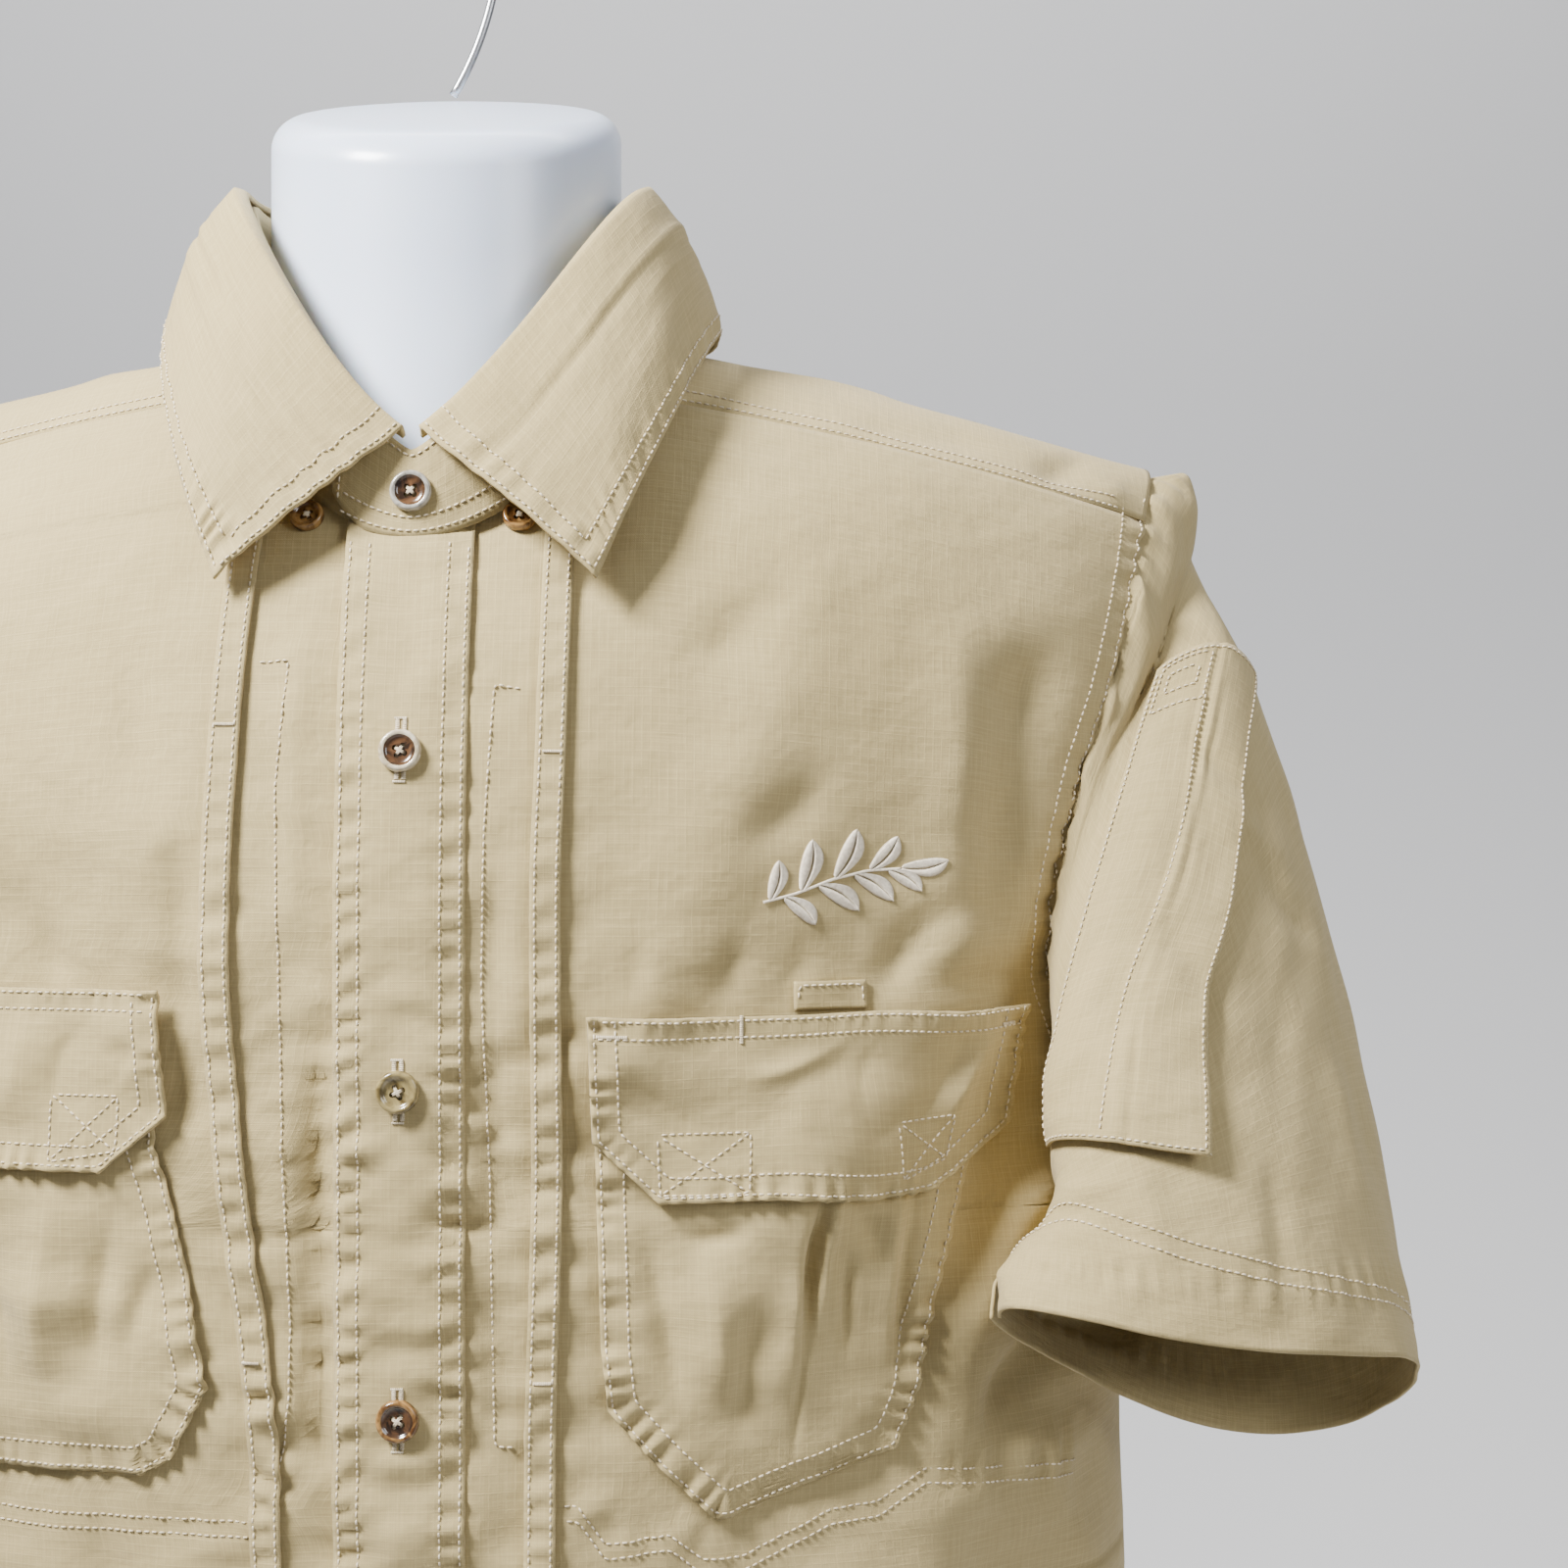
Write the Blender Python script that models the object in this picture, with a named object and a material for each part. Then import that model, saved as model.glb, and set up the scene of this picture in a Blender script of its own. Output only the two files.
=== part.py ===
"""A short-sleeved button-down shirt worn by a limbless torso form.

Metres, +Z up, the shirt's front faces -Y and +X is the wearer's left.
The origin is under the middle of the form's flat base.

Every cloth piece is a thin wall whose points come from one body surface:
"turn" runs around the body (0 is its middle, 90 degrees its side) and "way"
runs from the front hem up over the shoulder ridge and down the back.
"""

import math

import bmesh
import bpy
from mathutils import Vector

# Body surface under the cloth
CHEST_Z = 0.600
RIDGE_AT_NECK = 0.797
RIDGE_AT_SHOULDER = 0.757
NECK_HALF = 0.072
SHOULDER_HALF = 0.236
FRONT_DEPTH = 0.135
BACK_DEPTH = 0.122
ROUND_POWER = 2.1
TOP_POWER = 2.2
HEM_Z = 0.040
BODY_WIDTHS = (
    # height, half width
    (0.000, 0.236),
    (0.200, 0.231),
    (0.454, 0.226),
    (0.560, 0.225),
    (0.640, 0.232),
    (0.700, 0.243),
    (0.800, 0.250),
)

# Rows of the trunk's panels, close together where the armhole and the neckline start
LOW_ROWS_Z = (HEM_Z, 0.150, 0.260, 0.370, 0.450, 0.500, 0.5190, 0.5225, 0.530, 0.543, 0.560, 0.580)
UPPER_ROW_SHARES = (0.0, 0.14, 0.28, 0.41, 0.53, 0.580, 0.620, 0.70, 0.84, 1.0)

# Cloth
WALL = 0.0015
SEAM_GAP = 0.0004
LAY_GAP = 0.0009

# Largest folds: a soft ridge (or trough, if negative) along a line seen from the front
FRONT_FOLDS = (
    # from x, from z, to x, to z, half width, height
    (0.190, 0.640, 0.100, 0.500, 0.016, 0.0045),
    (0.205, 0.580, 0.150, 0.400, 0.018, 0.0050),
    (0.120, 0.700, 0.060, 0.560, 0.015, 0.0030),
    (0.130, 0.420, 0.120, 0.050, 0.022, 0.0060),
    (0.060, 0.330, 0.070, 0.040, 0.020, 0.0045),
    (-0.195, 0.620, -0.110, 0.500, 0.018, 0.0030),
    (-0.130, 0.700, -0.060, 0.600, 0.015, 0.0030),
    (-0.110, 0.400, -0.120, 0.050, 0.022, 0.0055),
    (-0.185, 0.420, -0.190, 0.050, 0.018, -0.0045),
)
BACK_FOLDS = (
    (0.090, 0.640, 0.080, 0.050, 0.022, 0.0055),
    (-0.085, 0.640, -0.095, 0.050, 0.022, 0.0055),
    (0.000, 0.420, 0.010, 0.050, 0.022, -0.0045),
    (0.170, 0.520, 0.180, 0.050, 0.020, 0.0045),
    (-0.170, 0.520, -0.180, 0.050, 0.020, 0.0045),
)

# Armhole, seen from the side, and neckline, seen from above
ARMHOLE_TOP = 0.757
ARMHOLE_BOTTOM = 0.520
ARMHOLE_FRONT = 0.070
ARMHOLE_BACK = 0.066
ARMHOLE_NARROWING = 0.32
NECKLINE_MIDDLE_Y = -0.032
NECKLINE_HALF_DEPTH = 0.078

# Yoke seams, measured down from the ridge
YOKE_FRONT_DROP = 0.024
YOKE_BACK_DROP = 0.105

# Front strips and pockets
PLACKET_HALF = 0.019
PLACKET_WALL = 0.0018
PLACKET_TOP = 0.7225
UNDERLAP = 0.012
WELT_HALF = 0.0045
WELT_TOP = 0.7400
WELT_LEFT = (
    # height, middle of the strip
    (0.040, 0.0400),
    (0.450, 0.0405),
    (0.534, 0.0425),
    (0.620, 0.0420),
    (0.660, 0.0432),
    (0.740, 0.0446),
)
WELT_RIGHT = (
    (0.040, -0.0380),
    (0.449, -0.0390),
    (0.534, -0.0490),
    (0.600, -0.0540),
    (0.667, -0.0520),
    (0.740, -0.0480),
)

POCKET_LEFT = (
    # height, inner x, outer x
    (0.4345, 0.0905, 0.0960),
    (0.4420, 0.0830, 0.1160),
    (0.4505, 0.0745, 0.1440),
    (0.4670, 0.0600, 0.1510),
    (0.4850, 0.0580, 0.1540),
    (0.5100, 0.0572, 0.1600),
    (0.5410, 0.0563, 0.1680),
    (0.5760, 0.0555, 0.1800),
)
FLAP_LEFT = (
    (0.5280, 0.0740, 0.1520),
    (0.5320, 0.0700, 0.1600),
    (0.5460, 0.0556, 0.1775),
    (0.5600, 0.0552, 0.1800),
    (0.5820, 0.0549, 0.1848),
)
POCKET_RIGHT = (
    (0.4480, -0.1500, -0.0760),
    (0.4530, -0.1540, -0.0670),
    (0.4740, -0.1580, -0.0560),
    (0.5000, -0.1620, -0.0610),
    (0.5250, -0.1660, -0.0665),
    (0.5450, -0.1700, -0.0720),
    (0.5840, -0.1750, -0.0720),
)
FLAP_RIGHT = (
    (0.5370, -0.1600, -0.0860),
    (0.5400, -0.1650, -0.0830),
    (0.5530, -0.1760, -0.0680),
    (0.5700, -0.1790, -0.0690),
    (0.5900, -0.1810, -0.0700),
)
POCKET_PUFF = 0.0030
FLAP_GAP = 0.0014
TAB_LEFT = (0.5830, 0.5915, 0.1140, 0.1355)

# Collar: its roll line and outer edge, half way round from the front to the back
ROLL_FRONT_Z = 0.752
ROLL_SIDE_Z = 0.842
ROLL_BACK_Z = 0.846
ROLL_HALF_WIDTH = 0.0625
ROLL_FRONT_Y = -0.1075
ROLL_BACK_Y = 0.0415
STAND_TAB_TURN = -20.0
STAND_END_TURN = 14.0
LEAF_EDGE = (
    # turn from the front, x, y, z
    (2.0, 0.0565, -0.1235, 0.7100),
    (35.0, 0.0680, -0.1120, 0.7400),
    (62.0, 0.0810, -0.0820, 0.7740),
    (90.0, 0.0890, -0.0350, 0.7975),
    (118.0, 0.0830, 0.0150, 0.7990),
    (148.0, 0.0520, 0.0570, 0.7960),
    (180.0, 0.0000, 0.0690, 0.7950),
)
COLLAR_WALL = 0.0018
STAND_BELOW_ROLL = 0.0022

# Sleeve: the hem ring's middle, and its outward and backward half axes
HEM_RING_MIDDLE = Vector((0.2440, -0.1000, 0.4790))
HEM_RING_OUT = Vector((0.0660, 0.0180, -0.0120))
HEM_RING_BACK = Vector((0.0090, 0.0440, -0.0229))
HEM_RING_SAG = Vector((0.0, 0.0, -0.0132))
SLEEVE_CLEARANCE = 0.0045
SLEEVE_TURN_BACK = 0.0024
SLEEVE_LEAVES = (
    # angle round the armhole, then the cloth's direction and pull as it leaves the seam
    (0.0, 0.062, 0.000, -0.012),
    (60.0, 0.055, -0.030, -0.030),
    (100.0, 0.012, -0.090, -0.050),
    (140.0, -0.040, -0.100, -0.040),
    (180.0, 0.000, -0.120, -0.120),
    (205.0, 0.020, -0.030, -0.280),
    (230.0, 0.240, -0.010, -0.360),
    (250.0, 0.280, 0.000, -0.180),
    (280.0, 0.170, 0.010, -0.100),
    (320.0, 0.100, 0.010, -0.055),
    (360.0, 0.062, 0.000, -0.012),
)
SLEEVE_ARRIVES = Vector((-0.010, -0.055, -0.115))
SLEEVE_SIDES = 28
SLEEVE_SHARES = (0.020, 0.08, 0.16, 0.25, 0.36, 0.48, 0.60, 0.72, 0.84, 0.93, 1.0)
SLEEVE_POCKET_GAP = 0.0016
SLEEVE_POCKET = (
    # share of its own length, then the sleeve's share and angle at its outer and front edges
    (0.0, 0.34, 12.0, 0.21, 50.0),
    (0.2, 0.38, 42.0, 0.20, 70.0),
    (0.4, 0.45, 62.0, 0.22, 90.0),
    (0.6, 0.51, 76.0, 0.26, 110.0),
    (0.8, 0.61, 82.0, 0.33, 124.0),
    (1.0, 0.69, 86.0, 0.43, 134.0),
)

# Buttons
BUTTON_RADIUS = 0.00635
BUTTON_THICK = 0.0030
BUTTON_GAP = 0.0006
TIP_BUTTON_RADIUS = 0.0053
TIP_BUTTON_X = 0.0320
TIP_BUTTON_Z = 0.7300
FRONT_BUTTON_Z = (0.659, 0.561, 0.466, 0.371, 0.276, 0.181)

# Form
FORM_INSET = 0.0120
FORM_RIDGE_GAP = 0.0012
FORM_NECK_HALF_WIDTH = 0.0575
FORM_NECK_HALF_DEPTH = 0.0590
FORM_NECK_Y = -0.0285
CAP_INSET = 0.0110
CAP_FRONT_Z = 0.852
CAP_BACK_Z = 0.894
HOOK_RADIUS = 0.0015
HOOK_FOOT_X = -0.0030
HOOK_FOOT_Y = 0.0080
HOOK_FOOT_GAP = 0.0020
HOOK_LEAN = 0.0165
HOOK_RISE = 0.062
HOOK_BEND = 0.021
HOOK_SWEEP = 205.0


def clear_scene():
    for thing in list(bpy.data.objects):
        bpy.data.objects.remove(thing, do_unlink=True)


def plain_material(name, colour, roughness, metallic=0.0):
    made = bpy.data.materials.new(name)
    made.use_nodes = True
    shader = made.node_tree.nodes["Principled BSDF"]
    shader.inputs["Base Color"].default_value = (*colour, 1.0)
    shader.inputs["Roughness"].default_value = roughness
    shader.inputs["Metallic"].default_value = metallic
    return made


def table_value(table, key, column):
    """Value of a column at a key, between the rows on a smooth curve."""
    if key <= table[0][0]:
        return table[0][column]
    for low in range(len(table) - 1):
        start, end = table[low], table[low + 1]
        if key <= end[0]:
            share = (key - start[0]) / (end[0] - start[0])
            before = table[max(low - 1, 0)]
            after = table[min(low + 2, len(table) - 1)]
            span = end[0] - start[0]
            rise_in = (end[column] - before[column]) / (end[0] - before[0]) * span
            rise_out = (after[column] - start[column]) / (after[0] - start[0]) * span
            square, cube = share ** 2, share ** 3
            return (
                (2 * cube - 3 * square + 1) * start[column]
                + (cube - 2 * square + share) * rise_in
                + (3 * square - 2 * cube) * end[column]
                + (cube - square) * rise_out
            )
    return table[-1][column]


def straight_value(table, key, column):
    """Value of a column at a key, on straight lines between the rows."""
    for start, end in zip(table, table[1:]):
        if key <= end[0]:
            share = max(0.0, (key - start[0]) / (end[0] - start[0]))
            return start[column] + share * (end[column] - start[column])
    return table[-1][column]


def ease(low, high, value):
    share = min(1.0, max(0.0, (value - low) / (high - low)))
    return share * share * (3.0 - 2.0 * share)


def ridge_z(x):
    """Height of the shoulder ridge, level across the neck and sloping outward."""
    reach = max(0.0, (abs(x) - NECK_HALF) / (SHOULDER_HALF - NECK_HALF))
    return RIDGE_AT_NECK - (RIDGE_AT_NECK - RIDGE_AT_SHOULDER) * reach ** 1.15


def fold_height(folds, x, z):
    total = 0.0
    for from_x, from_z, to_x, to_z, half_width, height in folds:
        run_x, run_z = to_x - from_x, to_z - from_z
        length = math.hypot(run_x, run_z)
        along = ((x - from_x) * run_x + (z - from_z) * run_z) / length
        across = ((x - from_x) * run_z - (z - from_z) * run_x) / length
        taper = ease(-0.04, 0.05, along) * (1.0 - ease(length - 0.04, length + 0.05, along))
        total += height * taper * math.exp(-((across / half_width) ** 2))
    return total


def body_point(turn, way, inset=0.0, folded=True):
    """Point of the body surface. Way is negative below the front chest line, in metres,
    an angle from 0 to pi over the shoulders, and more than pi below the back chest line."""
    back = way > math.pi / 2
    over = min(max(way, 0.0), math.pi)
    rise = math.sin(over) ** (2.0 / TOP_POWER)
    close = abs(math.cos(over)) ** (2.0 / TOP_POWER)
    below = min(way, 0.0) + min(math.pi - way, 0.0)
    nominal = CHEST_Z + below + (RIDGE_AT_NECK - CHEST_Z) * rise
    half_width = table_value(BODY_WIDTHS, nominal, 1) - inset
    depth = (BACK_DEPTH if back else FRONT_DEPTH) - inset
    x = math.copysign(half_width * abs(math.sin(turn)) ** (2.0 / ROUND_POWER), turn)
    y = depth * abs(math.cos(turn)) ** (2.0 / ROUND_POWER) * close
    z = CHEST_Z + below + (ridge_z(x) - CHEST_Z) * rise
    point = Vector((x, y if back else -y, z))
    if folded:
        height = fold_height(BACK_FOLDS if back else FRONT_FOLDS, x, z)
        height *= ease(0.0, 0.35, abs(math.cos(turn))) * (1.0 - rise) ** 0.5
        point += height * Vector((x / half_width ** 2, point.y / depth ** 2, 0.0)).normalized()
    return point


def body_lifted(turn, way, lift, folded=True):
    """Point of the body surface moved out along the surface's own normal."""
    step = 0.002
    turn = min(max(turn, step - math.pi / 2), math.pi / 2 - step)
    around = body_point(turn + step, way, 0.0, folded) - body_point(turn - step, way, 0.0, folded)
    over = body_point(turn, way + step, 0.0, folded) - body_point(turn, way - step, 0.0, folded)
    normal = around.cross(over).normalized()
    return body_point(turn, way, 0.0, folded) + normal * lift


def way_at(x, z, back=False):
    """Way of the surface point seen at x and z from the front or the back."""
    if z <= CHEST_Z:
        return math.pi + CHEST_Z - z if back else z - CHEST_Z
    share = min(1.0, (z - CHEST_Z) / (ridge_z(x) - CHEST_Z))
    angle = math.asin(share ** (TOP_POWER / 2.0))
    return math.pi - angle if back else angle


def turn_at(x, way):
    over = min(max(way, 0.0), math.pi)
    rise = math.sin(over) ** (2.0 / TOP_POWER)
    below = min(way, 0.0) + min(math.pi - way, 0.0)
    nominal = CHEST_Z + below + (RIDGE_AT_NECK - CHEST_Z) * rise
    share = min(1.0, abs(x) / table_value(BODY_WIDTHS, nominal, 1))
    return math.copysign(math.asin(share ** (ROUND_POWER / 2.0)), x)


def laid_at(x, z, lift, back=False):
    way = way_at(x, z, back)
    return body_lifted(turn_at(x, way), way, lift)


def in_armhole(point, grow=0.0):
    """True inside the armhole's outline, an upright egg seen from the side."""
    middle = (ARMHOLE_TOP + ARMHOLE_BOTTOM) / 2.0
    half = (ARMHOLE_TOP - ARMHOLE_BOTTOM) / 2.0 + grow
    height = (point.z - middle) / half
    reach = (ARMHOLE_FRONT if point.y < 0.0 else ARMHOLE_BACK) * (1.0 - ARMHOLE_NARROWING * height) + grow
    return (point.y / reach) ** 2 + height ** 2 < 1.0


def in_neckline(point, grow=0.0):
    across = point.x / (NECK_HALF + grow)
    along = (point.y - NECKLINE_MIDDLE_Y) / (NECKLINE_HALF_DEPTH + grow)
    return point.z > 0.65 and across ** 2 + along ** 2 < 1.0


def edge_of(test, keep, drop):
    """Share between keep and drop where a test turns true, found by halving."""
    for _ in range(24):
        middle = (keep + drop) / 2.0
        if test(middle):
            drop = middle
        else:
            keep = middle
    return keep


def build_wall(name, outer, inner, material, closed_round=False):
    """A closed wall from two grids of points, None where the grid has no cloth."""
    bm = bmesh.new()
    rows, columns = len(outer), len(outer[0])
    skins = []
    for grid in (outer, inner):
        skins.append([[bm.verts.new(p) if p is not None else None for p in row] for row in grid])
    edge_use = {}
    last = columns if closed_round else columns - 1
    for r in range(rows - 1):
        for c in range(last):
            nxt = (c + 1) % columns
            corners = ((r, c), (r, nxt), (r + 1, nxt), (r + 1, c))
            if any(skins[0][i][j] is None for i, j in corners):
                continue
            across = (outer[r][c] - outer[r + 1][nxt]).length
            turned = (outer[r][nxt] - outer[r + 1][c]).length < across
            split = corners[1:] + corners[:1] if turned else corners
            for triangle in ((split[0], split[1], split[2]), (split[0], split[2], split[3])):
                bm.faces.new([skins[0][i][j] for i, j in triangle])
                bm.faces.new([skins[1][i][j] for i, j in reversed(triangle)])
            for start, end in zip(corners, corners[1:] + corners[:1]):
                key = (end, start)
                if key in edge_use:
                    del edge_use[key]
                else:
                    edge_use[(start, end)] = True
    for (ar, ac), (br, bc) in edge_use:
        bm.faces.new((skins[0][br][bc], skins[0][ar][ac], skins[1][ar][ac], skins[1][br][bc]))
    loose = [v for v in bm.verts if not v.link_faces]
    bmesh.ops.delete(bm, geom=loose, context="VERTS")
    bmesh.ops.recalc_face_normals(bm, faces=bm.faces)
    return finish_mesh(name, bm, material)


def finish_mesh(name, bm, material):
    mesh = bpy.data.meshes.new(name)
    bm.to_mesh(mesh)
    bm.free()
    mesh.shade_smooth()
    mesh.set_sharp_from_angle(angle=math.radians(40.0))
    mesh.materials.append(material)
    thing = bpy.data.objects.new(name, mesh)
    bpy.context.scene.collection.objects.link(thing)
    return thing


def spaced(low, high, count):
    return [low + (high - low) * i / (count - 1) for i in range(count)]


def front_rows():
    """Nominal ways of a front's rows, close together where the armhole and neckline start."""
    rows = [z - CHEST_Z for z in LOW_ROWS_Z]
    top = way_at(0.15, ridge_z(0.15) - YOKE_FRONT_DROP)
    rows += [top * share for share in UPPER_ROW_SHARES]
    return rows


def side_edge(way, side, inner_turn):
    """Turn where a panel's row ends: its side seam, or the armhole above the armpit."""
    seam = side * (math.pi / 2 - 0.004)

    def cut(turn):
        return in_armhole(body_point(turn, way), SEAM_GAP)

    if not cut(seam):
        return seam
    return edge_of(cut, inner_turn, seam)


def neck_edge(way, start, outer_turn):
    """Turn where a panel's row begins: its front edge, or the neckline above it."""

    def cut(turn):
        return in_neckline(body_point(turn, way), SEAM_GAP)

    if not cut(start):
        return start
    return edge_of(cut, outer_turn, start)


def build_front(name, side, inner_x, columns, material):
    outer, inner = [], []
    for way in front_rows():
        start = turn_at(inner_x, way)
        begin = neck_edge(way, start, side * 1.2)
        end = side_edge(way, side, side * 0.9)
        turns = spaced(begin, end, columns)
        outer.append([body_lifted(turn, way, 0.0) for turn in turns])
        inner.append([body_lifted(turn, way, -WALL) for turn in turns])
    return build_wall(name, outer, inner, material)


def yoke_ways(back_part):
    """Ways of the yoke's rows, over the ridge from the front seam to the back seam."""
    front = way_at(0.15, ridge_z(0.15) - YOKE_FRONT_DROP)
    back = way_at(0.15, ridge_z(0.15) - YOKE_BACK_DROP, back=True)
    gap = SEAM_GAP / 0.12
    if back_part:
        return spaced(math.pi / 2, back - gap, 7)
    return spaced(front + gap, math.pi / 2, 5)


def build_yoke(material):
    """One piece over both shoulders and behind the neck: a U around the neckline."""
    front_ways, back_ways = yoke_ways(False), yoke_ways(True)
    ways = front_ways[:-1] + back_ways
    ridge_row = len(front_ways) - 1
    shares = spaced(0.0, 1.0, 9)
    neck_edge_x = NECK_HALF + SEAM_GAP
    outer, inner = [], []
    for row, way in enumerate(ways):
        outer_row, inner_row = [], []
        for side in (-1, 1):
            inner_turn = turn_at(side * neck_edge_x, way)
            if in_neckline(body_point(inner_turn, way), SEAM_GAP * 0.5):
                inner_turn = neck_edge(way, inner_turn, side * 1.2)
            end = side_edge(way, side, side * 0.6)
            turns = [inner_turn + (end - inner_turn) * share for share in shares]
            if side < 0:
                turns.reverse()
            outer_row.append(turns)
        middle = []
        if row >= ridge_row:
            left_turn = outer_row[0][-1]
            right_turn = outer_row[1][0]
            middle = spaced(left_turn, right_turn, 9)[1:-1]
        turns = outer_row[0] + (middle or [None] * 7) + outer_row[1]
        row_points = []
        for turn in turns:
            if turn is None:
                row_points.append((None, None))
                continue
            here = way
            if row >= ridge_row and abs(body_point(turn, way).x) < neck_edge_x:
                share = (row - ridge_row) / (len(back_ways) - 1)
                first = edge_of(
                    lambda w: in_neckline(body_point(turn, w), SEAM_GAP),
                    back_ways[-1],
                    math.pi / 2,
                )
                here = first + (back_ways[-1] - first) * share
            row_points.append((body_lifted(turn, here, 0.0), body_lifted(turn, here, -WALL)))
        outer.append([p[0] for p in row_points])
        inner.append([p[1] for p in row_points])
    return build_wall("yoke", outer, inner, material)


def build_back(material):
    top = way_at(0.15, ridge_z(0.15) - YOKE_BACK_DROP, back=True) + SEAM_GAP / 0.12
    ways = [top + (math.pi - top) * share for share in (0.0, 0.3, 0.6, 1.0)]
    ways += [math.pi + CHEST_Z - z for z in reversed(LOW_ROWS_Z)]
    outer, inner = [], []
    for way in ways:
        left = side_edge(way, -1, -0.6)
        right = side_edge(way, 1, 0.6)
        turns = spaced(left, right, 22)
        outer.append([body_lifted(turn, way, 0.0) for turn in turns])
        inner.append([body_lifted(turn, way, -WALL) for turn in turns])
    return build_wall("back", outer, inner, material)


def strip_on_front(name, middle_of, half, heights, columns, lift, wall, material):
    """A narrow strip laid on the front along a middle line, from its lowest height up."""
    outer, inner = [], []
    for z in heights:
        xs = spaced(middle_of(z) - half, middle_of(z) + half, columns)
        outer.append([laid_at(x, z, lift + wall) for x in xs])
        inner.append([laid_at(x, z, lift) for x in xs])
    return build_wall(name, outer, inner, material)


def strip_heights(top):
    return spaced(HEM_Z, 0.600, 9)[:-1] + spaced(0.600, top, 7)


def pocket_lift(table, x, z):
    """Height of a pocket's outer face above the front: puffed in its middle."""
    low, high = table[0][0], table[-1][0]
    left = straight_value(table, z, 1)
    right = straight_value(table, z, 2)
    across = min(max((x - left) / (right - left), 0.0), 1.0)
    along = min(max((z - low) / (high - low), 0.0), 1.0)
    puff = 16.0 * across * (1.0 - across) * along * (1.0 - along)
    return LAY_GAP + WALL + POCKET_PUFF * puff


def build_patch(name, table, lift_of, rows, columns, wall, material):
    """A pocket or flap laid on the front between the inner and outer x of its table."""
    outer, inner = [], []
    heights = sorted({row[0] for row in table} | set(spaced(table[0][0], table[-1][0], rows)))
    heights = [z for i, z in enumerate(heights) if i == 0 or z - heights[i - 1] > 0.002]
    for z in heights:
        xs = spaced(straight_value(table, z, 1), straight_value(table, z, 2), columns)
        outer.append([laid_at(x, z, lift_of(x, z)) for x in xs])
        inner.append([laid_at(x, z, lift_of(x, z) - wall) for x in xs])
    return build_wall(name, outer, inner, material)


def neckline_point(turn):
    """Point of the neckline seam on the body surface, turn in degrees from the front."""
    angle = math.radians(turn)
    x = NECK_HALF * math.sin(angle)
    y = NECKLINE_MIDDLE_Y - NECKLINE_HALF_DEPTH * math.cos(angle)
    low, high = (0.0, math.pi / 2) if y < 0.0 else (math.pi, math.pi / 2)

    def past(way):
        return abs(body_point(turn_at(x, way), way).y) < abs(y)

    way = edge_of(past, low, high)
    return body_point(turn_at(x, way), way)


def roll_point(turn):
    """Point of the collar's roll line, turn in degrees from the front."""
    angle = math.radians(turn)
    side = abs(math.sin(angle))
    if math.cos(angle) >= 0.0:
        y = NECKLINE_MIDDLE_Y + (ROLL_FRONT_Y - NECKLINE_MIDDLE_Y) * math.cos(angle)
        z = ROLL_FRONT_Z + (ROLL_SIDE_Z - ROLL_FRONT_Z) * side ** 1.3
    else:
        y = NECKLINE_MIDDLE_Y - (ROLL_BACK_Y - NECKLINE_MIDDLE_Y) * math.cos(angle)
        z = ROLL_BACK_Z - (ROLL_BACK_Z - ROLL_SIDE_Z) * side ** 2
    return Vector((ROLL_HALF_WIDTH * math.sin(angle), y, z))


def stand_point(turn, share, lift):
    """Point of the collar stand between the neckline seam and the roll line."""
    low = neckline_point(turn)
    high = roll_point(turn)
    out = Vector((math.sin(math.radians(turn)), -math.cos(math.radians(turn)), 0.12)).normalized()
    base = low + Vector((0.0, 0.0, 0.0024)) + out * 0.0006
    return base.lerp(high - Vector((0.0, 0.0, STAND_BELOW_ROLL)), share) + out * lift


def stand_lift(turn):
    """The tab's end lies over the other end of the band at the front."""
    return (COLLAR_WALL + LAY_GAP) * (1.0 - ease(STAND_END_TURN + 2.0, STAND_END_TURN + 22.0, turn))


def build_stand(material):
    turns = spaced(STAND_TAB_TURN, 360.0 + STAND_END_TURN, 50)
    outer, inner = [], []
    for share in (0.0, 0.5, 1.0):
        outer_row, inner_row = [], []
        for turn in turns:
            from_tip = (turn - STAND_TAB_TURN) / 9.0
            rounded = share
            if from_tip < 1.0:
                rounded = 0.5 + (share - 0.5) * (0.45 + 0.55 * math.sqrt(max(0.0, from_tip)))
            lift = stand_lift(turn)
            outer_row.append(stand_point(turn, rounded, lift))
            inner_row.append(stand_point(turn, rounded, lift - COLLAR_WALL))
        outer.append(outer_row)
        inner.append(inner_row)
    return build_wall("collar_stand", outer, inner, material)


def leaf_edge_point(turn):
    """Point of the collar's outer edge, the same on both sides."""
    around = turn if turn <= 180.0 else 360.0 - turn
    side = 1.0 if turn <= 180.0 else -1.0
    return Vector((
        side * table_value(LEAF_EDGE, around, 1),
        table_value(LEAF_EDGE, around, 2),
        table_value(LEAF_EDGE, around, 3),
    ))


def leaf_point(turn, share, lift):
    """Point of the fallen collar: over the roll line, then down to the outer edge."""
    roll = roll_point(turn)
    edge = leaf_edge_point(turn)
    out = Vector((math.sin(math.radians(turn)), -math.cos(math.radians(turn)), 0.0))
    rise = Vector((0.0, 0.0, 1.0))
    crown = roll + out * 0.0032 + rise * 0.0010
    start = roll + out * 0.0004
    first = 0.12
    if share < first:
        point = start.lerp(crown, share / first)
    else:
        point = crown.lerp(edge, (share - first) / (1.0 - first))
    bow = 0.0050 * math.sin(math.pi * share) ** 0.8
    lean = ease(0.0, 0.25, share)
    normal = (out * (0.35 + 0.65 * lean) + rise * (1.0 - 0.55 * lean)).normalized()
    return point + normal * (bow + lift)


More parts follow.
